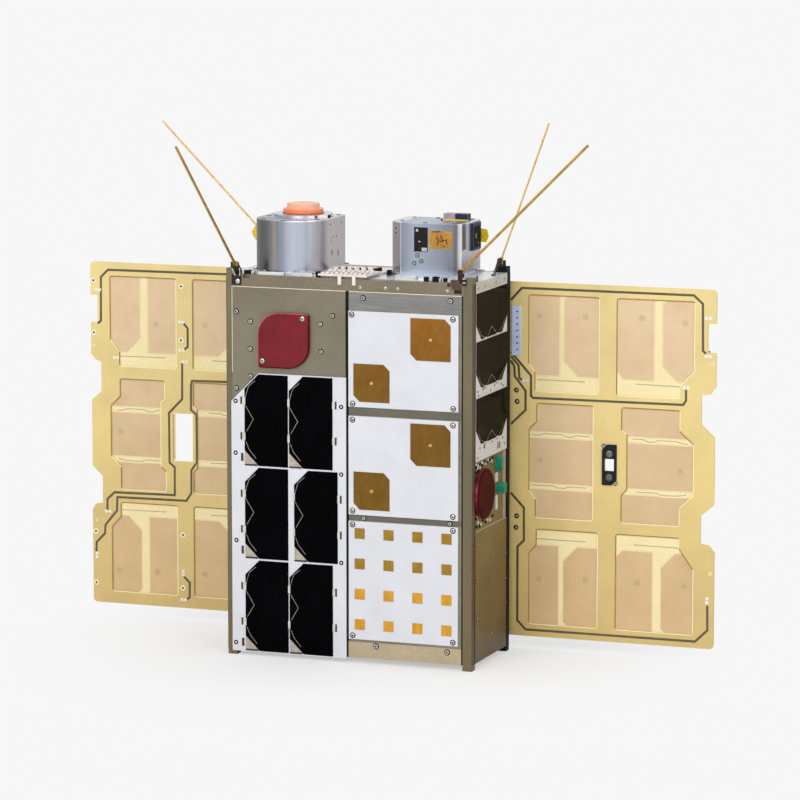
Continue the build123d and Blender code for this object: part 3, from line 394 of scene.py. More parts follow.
    "black_mask": ("black_board", "black_solder_mask", "#050507", "#0F0F12", 12, 1.0, (0.25, 0.35), 0.004,
        dict(Specular_IOR_Level=0.25)),
    # Copper under clear mask: dark olive line
    "track": ("black_board", "masked_copper_track", "#4E4434", "#6B5F46", 15, 0.6, (0.3, 0.42), 0.004, 0.2),
    # Cold headed stainless steel: bright, with fine marks from the driver
    "steel": ("bare_aluminium", "stainless_screw", "#9A9894", "#DAD7D1", 4, 0.4, (0.18, 0.34), 0.006, 0.95),
    # Painted shade in sockets, seats, holes and creases; the same near black is also the own colour of dark joints,
    # small chips and fittings
    "recess": ("black_plastic", "screw_recess_shadow", "#0F0C0A", "#211C18", 3, 0.4, (0.6, 0.8), 0.004,
        dict(Specular_IOR_Level=0.1)),
    # Film tape: glossy, wrinkled, with a warm glow
    "film": ("gold_plate", "amber_film_tape", "#94640A", "#C68E16", 9, 1.4, (0.1, 0.28), 0.06, dict(Coat_Weight=0.4)),
    "yellow_tape": ("yellow_laminate", "yellow_film_tape", "#C9A60A", "#F2D62E", 6, 1.2, (0.15, 0.35), 0.05,
        dict(Coat_Weight=0.4)),
    "solder": ("bare_aluminium", "tinned_pad", "#E2E0DA", "#FAF9F5", 3, 0.4, (0.22, 0.4), 0.012, 0.15),
    "cream": ("white_board", "cream_rivet_collar", "#EADDB6", "#FBF1D4", 4, 0.5, (0.3, 0.45), 0.006),
    "pale_blue": ("white_board", "pale_blue_connector", "#B4C1E4", "#CED8F2", 14, 0.9, (0.35, 0.5), 0.006),
    "dull_grey": ("bare_aluminium", "cadmium_grey_disc", "#4A4A4A", "#767674", 5, 0.5, (0.35, 0.55), 0.01, 0.6),
}
MADE = {}

# Which sub-parts of the CAD model wear which finish
NODE_FINISH = {
    "anodised": "rails inner_block",
    "anodised_low": "bottom_frame",
    "anodised_bar": "top_bars",
    "anodised_plate": "left_plate",
    "anodised_side": "service_boards side_plates",
    "black_anodised": "dark_rail",
    "brushed_plate": "right_plate",
    "turned": "left_can",
    "milled": "lens_ring can_flanges",
    "milled_can": "right_can",
    "clear_coated": "top_plate right_wing_leaves left_wing_leaves hinge_blocks",
    "dark_root": "rod_forks",
    "white_mask": "solar_board antenna_board_upper antenna_board_middle antenna_board_lower side_boards rear_board",
    "white_mask_warm": "middle_board",
    "cell": "front_cells side_cells rear_cells right_wing_cells left_wing_cells",
    "red": "red_cover",
    # The round cover's face is the red with painted shade
    "red_dark": "round_cover",
    "gold": "gold_patches",
    "green": "green_sockets",
    "orange": "lens_cap",
    "black_plastic": "switch_posts",
    "navy_plastic": "can_blocks",
    "gilt": "rod_front_right rod_front_left rod_rear_left rod_rear_right",
    "laminate": "right_wing_board left_wing_board",
    "black_mask": "sensor_board",
}


def material_of(finish_name):
    """The material of a finish, made when it is first asked for."""
    if finish_name not in MADE:
        _, *values = FINISHES[finish_name]
        more = values.pop() if isinstance(values[-1], dict) else {}
        MADE[finish_name] = MAKERS.get(finish_name, finish)(*values, **more)
    return MADE[finish_name]


def set_width(name):
    """A width that the user set, in mm."""
    return getattr(bpy.context.scene.satellite_look, name) / MM


def spot(side, a, b, out):
    """A point on one side of the body, in metres."""
    return Vector(SIDES[side](a, b, out)) * MM


def walls(mesh, rings):
    """Faces from each ring of corners to the next."""
    for lower, upper in zip(rings, rings[1:]):
        for i in range(len(lower)):
            j = (i + 1) % len(lower)
            mesh.faces.new((lower[i], lower[j], upper[j], upper[i]))


def prism(mesh, side, outline, low, high):
    """A flat piece with that outline, from one depth to another."""
    rings = [[mesh.verts.new(spot(side, a, b, out)) for a, b in outline] for out in (low, high)]
    mesh.faces.new(rings[0])
    mesh.faces.new(rings[1])
    walls(mesh, rings)


def block(mesh, side, a0, a1, b0, b1, low, high):
    prism(mesh, side, [(a0, b0), (a1, b0), (a1, b1), (a0, b1)], low, high)


def turned(mesh, side, a, b, profile, sides=20):
    """A round piece from a list of radius and depth."""
    turns = [(math.cos(math.tau * i / sides), math.sin(math.tau * i / sides)) for i in range(sides)]
    rings = [[mesh.verts.new(spot(side, a + r * x, b + r * y, out)) for x, y in turns] for r, out in profile]
    walls(mesh, rings)
    mesh.faces.new(rings[0])
    mesh.faces.new(rings[-1])


def strip(mesh, side, path, width, low, high):
    """A flat strip of one width along a path, with mitred corners."""
    points = [Vector(p) for p in path]
    ways = [(two - one).normalized() for one, two in zip(points, points[1:])]
    edges = []
    for i, point in enumerate(points):
        before, after = ways[max(i - 1, 0)], ways[min(i, len(ways) - 1)]
        if 0 < i < len(ways):
            normal = Vector((-(before + after).y, (before + after).x)).normalized()
            normal *= width / 2 / max(0.4, normal.dot(Vector((-before.y, before.x))))
        else:
            normal = Vector((-after.y, after.x)) * width / 2
        edges.append((tuple(point + normal), tuple(point - normal)))
    for (left, right), (next_left, next_right) in zip(edges, edges[1:]):
        prism(mesh, side, [left, next_left, next_right, right], low, high)


def tube(mesh, points, radius, sides=12):
    """A round wire through points in mm."""
    path = [Vector(p) * MM for p in points]
    rings = []
    across = None
    for i, point in enumerate(path):
        along = (path[min(i + 1, len(path) - 1)] - path[max(i - 1, 0)]).normalized()
        across = (across - along * across.dot(along)).normalized() if across else along.orthogonal().normalized()
        other = along.cross(across)
        rings.append([mesh.verts.new(point + (across * math.cos(math.tau * k / sides)
                                              + other * math.sin(math.tau * k / sides)) * radius * MM)
                      for k in range(sides)])
    walls(mesh, rings)
    mesh.faces.new(rings[0])
    mesh.faces.new(rings[-1])


def piece(name, mesh, finish_name, body="body", bevel=0.0):
    """Ends a piece: outward faces, softened edges, its finish, and the body that carries it."""
    bmesh.ops.recalc_face_normals(mesh, faces=mesh.faces)
    data = bpy.data.meshes.new(name)
    mesh.to_mesh(data)
    mesh.free()
    data.shade_smooth()
    data.set_sharp_from_angle(angle=math.radians(35))
    data.materials.append(material_of(finish_name))
    obj = bpy.data.objects.new(name, data)
    bpy.context.scene.collection.objects.link(obj)
    if bevel:
        edge = obj.modifiers.new("edge", "BEVEL")
        edge.width = bevel * MM
        edge.segments = 2
        edge.limit_method = "ANGLE"
    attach(obj, body)


def blocks(name, finish_name, side, low, high, rows, body="body", bevel=0.0):
    """One piece from blocks on one side, from one depth to another. A row is from and to along, from and to
    up and, for a block that stands prouder than the others, by how much."""
    mesh = bmesh.new()
    for *edges, proud in (row if len(row) == 5 else (*row, 0) for row in rows):
        block(mesh, side, *edges, low, high + proud)
    piece(name, mesh, finish_name, body, bevel)


def strips(name, finish_name, side, paths, width, low, high, body="body"):
    """One piece from strips of one width, from one depth to another."""
    mesh = bmesh.new()
    for path in paths:
        strip(mesh, side, path, width, low, high)
    piece(name, mesh, finish_name, body)


def rounds(name, finish_name, side, places, profile, sides=20, body="body"):
    """One piece from round parts that are alike, one at each place. Their profile is radius and depth."""
    mesh = bmesh.new()
    for a, b in places:
        turned(mesh, side, a, b, profile, sides)
    piece(name, mesh, finish_name, body)


def screws(name, side, places, depth, head, height, body="body", collar="recess"):
    """Socket head screws: a steel head with a socket, whose floor is a dark disc of painted shade, on a thin washer or
    in a dark seat of painted shade.
    """
    rounds(name, "steel", side, places, [
        (head * 0.42, depth + height * 0.35), (head * 0.45, depth + height), (head * 0.84, depth + height),
        (head, depth + height * 0.78), (head, depth - SINK)], 24, body)
    rounds(name + "_sockets", "recess", side, places, [(head * 0.44, depth + height * up) for up in (0.3, 0.42)], 6,
           body)
    rounds(name + "_washers", collar, side, places, [
        (head * 1.42, depth - SINK), (head * 1.42, depth + 0.12), (head * 1.34, depth + 0.2),
        (head * 0.9, depth + 0.2)], 24, body)


def rivets(name, finish_name, side, places, depth, r, hole=0.52, body="body"):
    """Plated holes: a raised ring with a dark middle of painted shade, whose share of the radius is given."""
    rounds(name, finish_name, side, places, [
        (r * hole, depth - SINK), (r * (hole + 0.05), depth + 0.2), (r * 0.85, depth + 0.25), (r, depth + 0.1),
        (r, depth - SINK)], body=body)
    rounds(name + "_holes", "recess", side, places, [(r * hole * 1.03, depth), (r * hole * 1.03, depth + 0.1)], 16,
           body)


def discs(name, finish_name, side, places, depth, r, body="body"):
    """Small round caps with a softened edge."""
    rounds(name, finish_name, side, places, [(r, depth - SINK), (r, depth + 0.2), (r * 0.8, depth + 0.3)], 18, body)


def wire_cells(name, side, cells, depth, body="body"):
    """Silver wires and tabs along one long edge of each cell. A cell is its corner, and which way its
    long edge and its short edge run."""
    wires, tabs, dark = bmesh.new(), bmesh.new(), bmesh.new()
    for corner, down, right in cells:
        corner, down, right = Vector(corner), Vector(down), Vector(right)
        for path in CELL_WIRES:
            strip(wires, side, [tuple(corner + right * r + down * d) for r, d in path], set_width("wire_width"),
                  depth - 0.05, depth + 0.08)
        for d in CELL_TABS:
            for mesh, r0, r1, high in ((dark, -1.9, -1.2, -0.1), (tabs, -1.3, 0.7, 0.12)):
                outline = [corner + right * r + down * (d + k)
                           for r, k in ((r0, -3.2), (r1, -3.2), (r1, 3.2), (r0, 3.2))]
                prism(mesh, side, [tuple(p) for p in outline], depth - CELL_T - SINK, depth + high)
    piece(name + "_wires", wires, "ribbon", body)
    piece(name + "_tabs", tabs, "tab", body)
    piece(name + "_adhesive", dark, "tab_dark", body)


def make_finishes():
    """Gives each sub-part its finish."""
    for finish_name, nodes in NODE_FINISH.items():
        for node in nodes.split():
            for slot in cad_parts[node].material_slots:
                slot.link = "OBJECT"
                slot.material = material_of(finish_name)


def make_front_cells():
    """Silver wires, tabs and corner diodes of the six cells on the front."""
    wires, tabs, dark, diodes = (bmesh.new() for _ in range(4))
    for i, (x, z) in enumerate(FRONT_CELLS):
        top, edge, c = z + CELL_H, x + CELL_W, CELL_CROP - 1.3
        for path in CELL_WIRES:
            strip(wires, "front", [(x + right, top - down) for right, down in path], set_width("wire_width"),
                  CELLS - 0.05, CELLS + 0.08)
        # The left cell of each pair has tabs along its left edge, the right one along both edges
        for at in (top - down for down in CELL_TABS):
            if i % 2 == 0:
                block(dark, "front", x - 4.0, x - 0.4, at - 3.2, at + 3.2, BOARD - SINK, BOARD + 0.25)
                block(tabs, "front", x - 2.2, x + 0.7, at - 3.6, at + 3.2, BOARD + 0.1, CELLS + 0.14)
            else:
                block(tabs, "front", x - 1.3, x + 0.7, at - 3.6, at + 3.2, BOARD + 0.1, CELLS + 0.14)
                block(tabs, "front", edge - 0.2, edge + 2.2, at - 3.4, at + 3.0, BOARD - SINK, CELLS + 0.1)
                block(dark, "front", edge + 2.2, edge + 3.7, at - 3.6, at + 3.2, BOARD - SINK, BOARD + 0.3)
        prism(diodes, "front", [(x + 0.2, z + 1.4), (x + c, z + 1.4), (x + 0.2, z + c + 1.2)], BOARD - SINK,
              CELLS - 0.05)
        block(dark, "front", x + 0.1, x + c, z - 0.2, z + 1.3, BOARD - SINK, CELLS - 0.1)
        if i % 2 == 0:
            block(dark, "front", x - 3.6, x - 1.2, z + 3.6, z + 10.6, BOARD - SINK, BOARD + 0.25)
            block(tabs, "front", x - 1.3, x + 0.6, z + 3.8, z + 10.4, BOARD - SINK, BOARD + 0.3)
    piece("front_cell_wires", wires, "ribbon")
    piece("front_cell_tabs", tabs, "tab", bevel=0.05)
    piece("front_tab_adhesive", dark, "tab_dark")
    piece("front_corner_diodes", diodes, "diode")
    holes = [(-104.2, 224.8), (-104.4, 179.2), (-104.1, 101.9), (-5.9, 224.5), (-6, 165.5), (-6.1, 87.9),
             (-105.0, 10.9)]
    rivets("solar_board_holes", "recess", "front", holes, BOARD, 2.0, 0.3)
    discs("solar_board_hole_plating", "solder", "front", holes, BOARD, 0.8)


def make_front_screws():
    """Screws of the front plates, covers and boards, and the lines between the plates."""
    screws("left_plate_screws", "front", [
        (-103.8, 303.1), (-90.6, 295), (-14.3, 303), (-25.5, 295.2), (-90.7, 270.9), (-25.1, 271.4),
        (-90.5, 246.9), (-104, 235.8)], PLATE, 1.75, 1.2)
    # Lines round the red cover's face: a painted highlight in lighter red on its upper left edges, painted shade in
    # darker red on the others
    make_rims("red_cover", COVER, True, COVER - 0.05, COVER + 0.05, "red_rim", "red_dark", "cover", "body")
    screws("cover_screws", "front", [(-41.1, 299.6), (-78.4, 261.3)], COVER - 0.2, 1.8, 0.9, collar="steel")
    screws("grey_plate_screws", "front", [(13.8, 319.8), (93.3, 320.5)], PLATE, 1.85, 1.2)
    screws("antenna_board_screws", "front", [
        (3.8, 305.3), (96, 305), (4.6, 228), (96.4, 228.2), (4.4, 214), (96.2, 213.8), (4.4, 134.4),
        (96.2, 134.6), (4.4, 122.4), (96.4, 122.4), (4.4, 24.8), (96.4, 24.8)], BOARD, 1.8, 0.8)
    screws("gap_screws", "front", [(14.4, 128.3), (93.2, 128.2)], PLATE, 1.7, 1.4)
    screws("bottom_frame_screws", "front", [(25.4, 16.2), (90.7, 15.6), (-60, 16)], PLATE, 1.9, 1.1)
    screws("bar_screws", "front", [(34.2, 329), (45.4, 329), (11, 328.6), (90.2, 329)], PLATE, 1.0, 0.5,
           collar="steel")
    # Painted shade: the plate darker in the gaps between the antenna boards
    blocks("plate_gaps", "anodised_gap_shade", "front", PLATE - SINK, PLATE + 0.05,
           [(0.8, 103.4, 217.9, 224.6), (0.8, 103.4, 126.1, 130.6)])
    blocks("plate_joints", "recess", "front", PLATE - 0.4, PLATE + 0.06,
           [(-2.2, -0.1, 5, 325), (103.5, 104.7, 5, 325)])
    feeds = [(75.8, 286.5), (22, 246.4), (75.8, 195.4), (22, 152.4)]
    rivets("patch_feeds", "gilt", "front", feeds, CELLS, 1.6, 0.6)
    discs("patch_feed_pins", "feed", "front", feeds, CELLS, 1.2)
    # Painted highlight: thin cream lines along the top edges of the plates and the left edge of the left plate
    blocks("plate_edges", "cream", "front", PLATE - 0.3, PLATE + 0.12,
           [(-107, -2.6, 324.7, 325.2), (0.8, 103.4, 324.7, 325.2), (-107.8, -107.4, 250, 325.2)])


def make_rims(node, depth, inwards, low, high, lit_finish, shadow_finish, name, body):
    """Thin lines round a flat face, a painted highlight or a painted shadow by the way each edge faces, read from the
    face itself. They lie inside or outside its outline. Gives back the outline of each of its faces."""
    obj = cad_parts[node]
    edges, faces = {}, []
    for face in obj.data.polygons:
        corners = [obj.matrix_world @ obj.data.vertices[i].co / MM for i in face.vertices]
        if all(abs(-c.y - depth) < 0.05 for c in corners):
            faces.append([(c.x, c.z) for c in corners])
            centre = sum(corners, Vector()) / len(corners)
            for one, two in zip(corners, corners[1:] + corners[:1]):
                key = tuple(sorted((round(c.x, 2), round(c.z, 2)) for c in (one, two)))
                edges.setdefault(key, []).append(Vector((centre.x, centre.z)))
    rims = {shadow_finish: bmesh.new(), lit_finish: bmesh.new()}
    for (one, two), centres in edges.items():
        # An edge that only one facet has is on the outline
        if len(centres) == 1 and one != two:
            one, two = Vector(one), Vector(two)
            along = (two - one).normalized()
            out = Vector((-along.y, along.x))
            if out.dot((one + two) / 2 - centres[0]) < 0:
                out = -out
            # The way an edge faces picks a painted highlight or a painted shadow
            lit = (out.y - 0.55 * out.x < 0) != inwards
            width = 0.7 if lit else 0.9
            shift = out * width / 2 * (-1 if inwards else 1)
            strip(rims[lit_finish if lit else shadow_finish], "front", [tuple(one + shift), tuple(two + shift)],
                  width, low, high)
    for finish_name, rim in rims.items():
        piece(name + "_" + finish_name, rim, finish_name, body)
    return faces


def make_wing_fronts():
    """Tracks, pads, screws and the cells' backs that show through each wing."""
    for side_name, sign, depth, tracks, pads, glue in (
            ("right", 1, RIGHT_WING, RIGHT_TRACKS, RIGHT_PADS, RIGHT_GLUE),
            ("left", -1, LEFT_WING, LEFT_TRACKS, LEFT_PADS, LEFT_GLUE)):
        body, floor = "wing_" + side_name, depth - POCKET
        strips(side_name + "_wing_tracks", "track", "front", tracks, set_width("track_width"), depth - 0.05,
               depth + 0.06, body)
        # Each pad is two halves, 3.4 mm apart
        halves = [(x + k, z) if across else (x, z + k) for x, z, across in pads for k in (-1.7, 1.7)]
        blocks(side_name + "_wing_pads", "solder", "front", depth - 0.05, depth + 0.12,
               [(a - 1.3, a + 1.3, b - 1.3, b + 1.3) for a, b in halves], body, 0.05)
        for grow, name, finish_name, high in (
                (0.9, "_cell_edges", "bed_edge", 0.04), (-0.4, "_cell_beds", "bed", 0.06)):
            mesh = bmesh.new()
            for x, z in UPRIGHT_CELLS:
                w, h, c = x + CELL_W + grow, z + CELL_H + grow, CELL_CROP
                outline = [(x + c, z - grow), (w, z - grow), (w, h), (x + c, h), (x - grow, h - c), (x - grow, z + c)]
                prism(mesh, "front", [(sign * a, b) for a, b in outline], floor - SINK, floor + high)
            for x, z in LYING_CELLS:
                block(mesh, "front", sign * (x - grow), sign * (x + CELL_H + grow), max(z - grow, MIDDLE_POCKETS[0]),
                      min(z + CELL_W + grow, MIDDLE_POCKETS[1]), floor - SINK, floor + high)
            piece(side_name + name, mesh, finish_name, body)
        crimps = [[(sign * a, b) for a, b in path] for path in CRIMPS]
        for name, finish_name, width, high in (
                ("_crimps", "crimp", 0.9, 0.1), ("_crimp_glow", "pale_resin", 3.6, 0.08)):
            strips(side_name + name, finish_name, "front", crimps, width, floor - SINK, floor + high, body)
        for name, finish_name, r, high in (
                ("_glue_halos", "glue_halo", 3.4, 0.08), ("_glue_spots", "glue_spot", 2.1, 0.1)):
            rounds(side_name + name, finish_name, "front", glue, [(r, floor - SINK), (r, floor + high)], 14, body)
        floors = bmesh.new()
        for outline in make_rims(side_name + "_wing_board", floor, False, depth - 0.05, depth + 0.03, "rim_light",
                                 "rim_dark", side_name + "_wing", body):
            prism(floors, "front", outline, floor - 0.05, floor + 0.02)
        piece(side_name + "_pocket_floors", floors, "pale_resin", body)
    for sign, name, depth in ((1, "right", RIGHT_WING), (-1, "left", LEFT_WING)):
        blocks(name + "_inner_edge", "laminate", "front", depth - WING_T, depth,
               [(*sorted((sign * 109.2, sign * 110.2)), 11.2, 325.8)], "wing_" + name)
    rivets("right_hinge_screw_seats", "recess", "front", RIGHT_SCREWS, RIGHT_WING, 2.3, 0.4, "wing_right")
    discs("right_hinge_screws", "steel", "front", RIGHT_SCREWS, RIGHT_WING + 0.1, 1.15, "wing_right")
    rivets("left_wing_rivets", "cream", "front", LEFT_RIVETS, LEFT_WING, 2.5, 0.36, "wing_left")
    rivets("right_wing_vias", "cream", "front", [(293.8, 261.1), (293.5, 77.9)], RIGHT_WING, 1.5, 0.2, "wing_right")
    rivets("left_wing_vias", "cream", "front", [(-294, 249), (-293.1, 87.5)], LEFT_WING, 1.3, 0.2, "wing_left")
    blocks("right_wing_connector", "pale_blue", "front", RIGHT_WING - SINK, RIGHT_WING + 1.2,
           [(111.3, 119.8, 260.8, 304.4)], "wing_right", 0.3)
    rounds("right_connector_pins", "navy_plastic", "front", [(116.4, 266.0 + 5.6 * k) for k in range(7)],
           [(0.8, RIGHT_WING + 1.1), (0.8, RIGHT_WING + 1.3)], 10, "wing_right")
    rounds("sensor_discs", "dull_grey", "front", [(201.4, 178.2), (201.4, 157.6)],
           [(3.1, -59.1), (3.1, -58.6), (2.4, -58.2), (1.2, -58.2)], body="wing_right")
    screws("sensor_screws", "front", [(196, 184.8), (206.8, 152.2)], RIGHT_WING, 1.5, 0.8, "wing_right")


def make_wing_rears():
    """Wiring of the cells behind each wing."""
    for side_name, sign, wing in (("right", 1, RIGHT_WING), ("left", -1, LEFT_WING)):
        cells = [((sign * (x + CELL_W), z + CELL_H), (0, -1), (-sign, 0)) for x, z in UPRIGHT_CELLS]
        cells += [((sign * x, z), (sign, 0), (0, 1)) for x, z in LYING_CELLS]
        wire_cells(side_name + "_rear_cell", "back", cells, -wing + WING_T + CELL_T, "wing_" + side_name)


def make_sides():
    """Wires, screws, sockets' strips and dots of the two side faces."""
    for side in ("right", "left"):
        wire_cells(side + "_side_cell", side, [((-CELL_H / 2, z), (1, 0), (0, 1)) for z in SIDE_CELLS],
                   SIDE_SKIN + CELL_T)
        rivets(side + "_side_dots", "dull_grey", side, [
            (-34, 238), (-22, 242), (-2, 238.6), (8, 241.4), (26, 240.2), (31, 238.2), (-30, 191.8), (2, 193),
            (-36, 184), (35, 186.5), (30, 192.6), (-36, 241.6)], SIDE_SKIN, 1.1)
        rivets(side + "_side_ring", "dull_grey", side, [(-18.5, 191.5)], SIDE_SKIN, 1.9)
        blocks(side + "_side_strokes", "recess", side, SIDE_SKIN - SINK, SIDE_SKIN + 0.15,
               [(16.5, 18.6, 184.4, 190.2), (21.4, 23.5, 184.4, 190.2)])
        screws(side + "_lip_screws", side, [(11.2, 331.1), (-17.5, 330.6), (-36, 331), (34, 331.4)], SIDE_SKIN,
               1.2, 0.7, collar="steel")
        rivets(side + "_service_pins", "solder", side, [
            *((-37.0 + 5.2 * i, 178.2 - 1.3 * (i % 3)) for i in range(9)), (-33, 174.6), (-26, 173.6),
            (-31, 127.3), (-24, 124.6), (-6, 126), (0, 124.6), (-34, 132)], SERVICE, 1.5, 0.3)
        chips = [(-38.6, 175.2), (-34, 171.4), (-29, 176.2), (-22.8, 174.6), (-16.6, 176.6), (-9.6, 175.2),
                 (-2.4, 176.4), (4.2, 177), (-39.4, 170.6), (-37.6, 123), (-29.4, 122.4), (-20.8, 126.4),
                 (-14.2, 123.6), (-9.2, 127.6), (-38.6, 130.4), (5.2, 126)]
        blocks(side + "_service_chips", "recess", side, SERVICE - SINK, SERVICE + 0.7,
               [(a, a + 2.6, b, b + 2.2) for a, b in chips])
        # Only the right side has the round cover and the sockets
        if side == "right":
            # A painted highlight: a thin ring of lighter red just outside the round cover's wall
            rounds("round_cover_wall", "red_wall_highlight", side, [(-22.5, 151.4)],
                   [(21.8, 113.3), (22.06, 113.3), (22.06, 115.7), (21.8, 115.7)], 64)
        blocks(side + "_service_strips", "white_mask", side, SERVICE - SINK, SERVICE + 0.8,
               [(13.5, 19, 155.4, 163.6), (13.5, 18.5, 131, 143.6), (-40.6, 40.6, 119.7, 120.3, 0.1)])
        blocks(side + "_service_edge", "diode", side, SERVICE - SINK, SERVICE + 0.5, [(33.4, 40.6, 121.0, 180.4)])
        if side == "right":
            ribs = bmesh.new()
            for a0, a1, out, ups in ((16.2, 24.8, SERVICE + 6.8, (146.0, 148.4, 150.8)),
                                     (14.2, 20.8, SERVICE + 4.8, (166.8, 169.6, 172.4, 175.2))):
                for up in ups:
                    block(ribs, side, a0, a1, up, up + 0.7, out, out + 0.45)
            piece("socket_ribs", ribs, "green_rib")
        # Painted shade: darker strips on the rails' side faces, except the rear rail on the right, whose side is black
        # of its own
        for place, s in (("front", -1), ("rear", 1)):
            blocks(side + "_" + place + "_rail_edge",
                   "black_anodised" if (side, place) == ("right", "rear") else "anodised_shade", side,
                   SIDE_SKIN - 0.2, SIDE_SKIN + 0.06, [(*sorted((s * 49.7, s * 43.4)), 5.0, 335.4)])
        blocks(side + "_rail_joints", "recess", side, SIDE_SKIN - 0.4, SIDE_SKIN + 0.05,
               [(-43.4, -41.4, 5, 335.4), (41.4, 43.4, 5, 335.4)])
        blocks(side + "_skirt", "anodised_side", side, SIDE_SKIN - 0.3, SIDE_SKIN + 0.04, [(-41.4, 41.4, 5.2, 19.0)])
        screws(side + "_plate_screws", side, [
            (-36.3, 108.8), (-36.3, 79.9), (-36.3, 64.1), (-36.3, 43.8), (0.8, 92.6), (0.8, 69.6), (0.8, 46.5),
            (0.8, 24.3), (39.6, 88.4), (39.6, 66), (39.6, 44.5), (39.6, 22.1)], SIDE_SKIN, 1.0, 0.6)
        hooks, x = bmesh.new(), 110.0 if side == "right" else -110.0
        for y in (-29.8, 16.7):
            tube(hooks, [(x, y + aside, TOP + up) for aside, up in (
                (-1.6, -0.2), (-1.6, 3.4), (-0.8, 4.8), (0.8, 4.8), (1.6, 3.4), (1.6, -0.2))], 0.5)
        piece(side + "_lip_hooks", hooks, "dull_grey")
        blocks(side + "_hook_seats", "dark_root", side, 107.6, 109.4,
               [(y - 2.2, y + 2.2, TOP - 0.1, TOP + 1.2) for y in (-29.8, 16.7)], bevel=0.2)


def make_cans():
    """Tape, screws, windows and holes of the two cans and their flanges."""
    blocks("film_tape_patch", "film", "front", 9.95, 10.12, [(59.6, 80.4, 359.8, 375.4)], bevel=0.05)
    # Painted shade: dark lines along the tape's creases
    strips("film_wrinkles", "recess", "front", [
        [(66, 371), (68, 367), (67, 363)], [(70, 372), (72, 366)], [(69, 366), (75, 368), (76, 364)],
        [(72, 363), (74, 361.5)], [(62, 374.4), (70, 374.8)]], 0.7, 10.1, 10.18)
    blocks("window_back", "black_mask", "front", 8.0, 8.4, [(45.8, 58.1, 356.8, 377.8)])
    blocks("window_fittings", "steel", "front", 8.3, 8.7,
           [(47, 49, 374, 376.4, 0.2), (52.4, 57.4, 357.2, 360.4, 0.7), (49.2, 51, 365, 366)])
    screws("window_screws", "front", [(45.7, 346.6), (48.6, 353.6), (52.2, 348.6)], 10, 1.4, 0.8)
    rivets("corner_holes", "dull_grey", "front", [(27, 376), (27, 371.6)], 4.2, 0.9)
    screws("right_can_screws", "top", [(29.9, 4.3), (30.5, 33), (54, -5), (80.7, -4), (84, 34),
                                       (52.0, 34.0)], 381.8, 1.3, 0.9)
    screws("left_can_screws", "top", [(-90.9, -4.4), (-46, -32.7), (-39.3, -20.6), (-88.1, -24.4), (-64.7, -38.6),
                                      (-36.8, 24), (-93.8, 24), (-37, 6)], LEFT_CAN, 1.3, 0.8)
    blocks("left_can_bracket", "white_mask_warm", "top", LEFT_CAN, 384.6, [(-44.0, -34.6, -9.0, -2.0)], bevel=0.2)
    blocks("bracket_feet", "recess", "top", LEFT_CAN, 383.2,
           [(-45.6, -44, -8, -3), (-34.8, -33.8, -8, -3, 1.8)])
    rivets("left_can_hole", "dull_grey", "right", [(-6.2, 377.0)], -33.0, 0.9)
    # Painted shadow: a dark orange ring round the cap, where its groove lies in shade
    rounds("cap_groove", "groove", "top", [(-65.3, 12.0)], [(18.3, 384.1), (18.3, 384.6), (17.0, 384.6)], 48)
    tape = bmesh.new()
    prism(tape, "front", [(-97.2, 375.2), (-101.6, 373.6), (-104.8, 368.6), (-103, 364.6), (-100.6, 360.8),
                          (-97.2, 361.8)], 10.8, 11.2)
    prism(tape, "front", [(88.8, 373.6), (95.4, 372.8), (96.6, 367), (94.4, 361.4), (88.8, 361.8)], -39.8, -39.4)
    block(tape, "top", 60.4, 85.2, 17.0, 20.2, 381.7, 382.9)
    block(tape, "top", 60.4, 62.1, 17.0, 30.4, 381.7, 382.9)
    piece("loose_tape", tape, "yellow_tape")
    blocks("top_block_sleeve", "lavender", "top", 382.8, 387.4, [(61.9, 72.6, 19.9, 30.1)])
    blocks("side_block_sockets", "recess", "right", 91.1, 91.3, [(16.0, 33.0, 359.0, 377.4)])
    blocks("side_block_contacts", "gilt", "right", 91.2, 91.5,
           [(20, 22.6, 367, 371), (26, 28, 361.6, 363)])
    blocks("slot_shade", "dull_grey", "right", 87.0, 87.3, [(-8.7, 1.6, 359.2, 380.8)])
    screws("flange_screws", "top", [
        (-96.4, 28), (-95, -26), (-80, -42.6), (-50, -44.4), (-34, -42.6), (-34, 36),
        (23.2, -4.6), (38.6, -29.4), (72.4, -29.4), (89.4, -10), (90.6, 30)], CANS, 1.6, 1.2)
    blocks("flange_clips", "clear_coated", "top", TOP, CANS, [
        (-84, -60, -48.4, -46, 0.6), (-52, -34, -48.4, -46, 0.6), (38, 57, -37, -33.2, 0.9)],
        bevel=0.2)
    blocks("flange_fittings", "recess", "top", TOP, CANS, [
        (66, 70, -42, -38, 1), (75, 79.6, -43.6, -39, 1.6), (83, 86, -40, -37, 0.6),
        (22, 25, -14, -9, 2), (-98, -92, -46, -43, 0.8), (-31.4, -28.6, -46, -41, 2.2)])
    blocks("flange_nuts", "steel", "top", TOP, CANS, [
        (71, 74, -43, -40, 1.4), (80.4, 82.4, -44, -41, 0.8), (-91, -88, -47, -44, 0.4)],
        bevel=0.3)


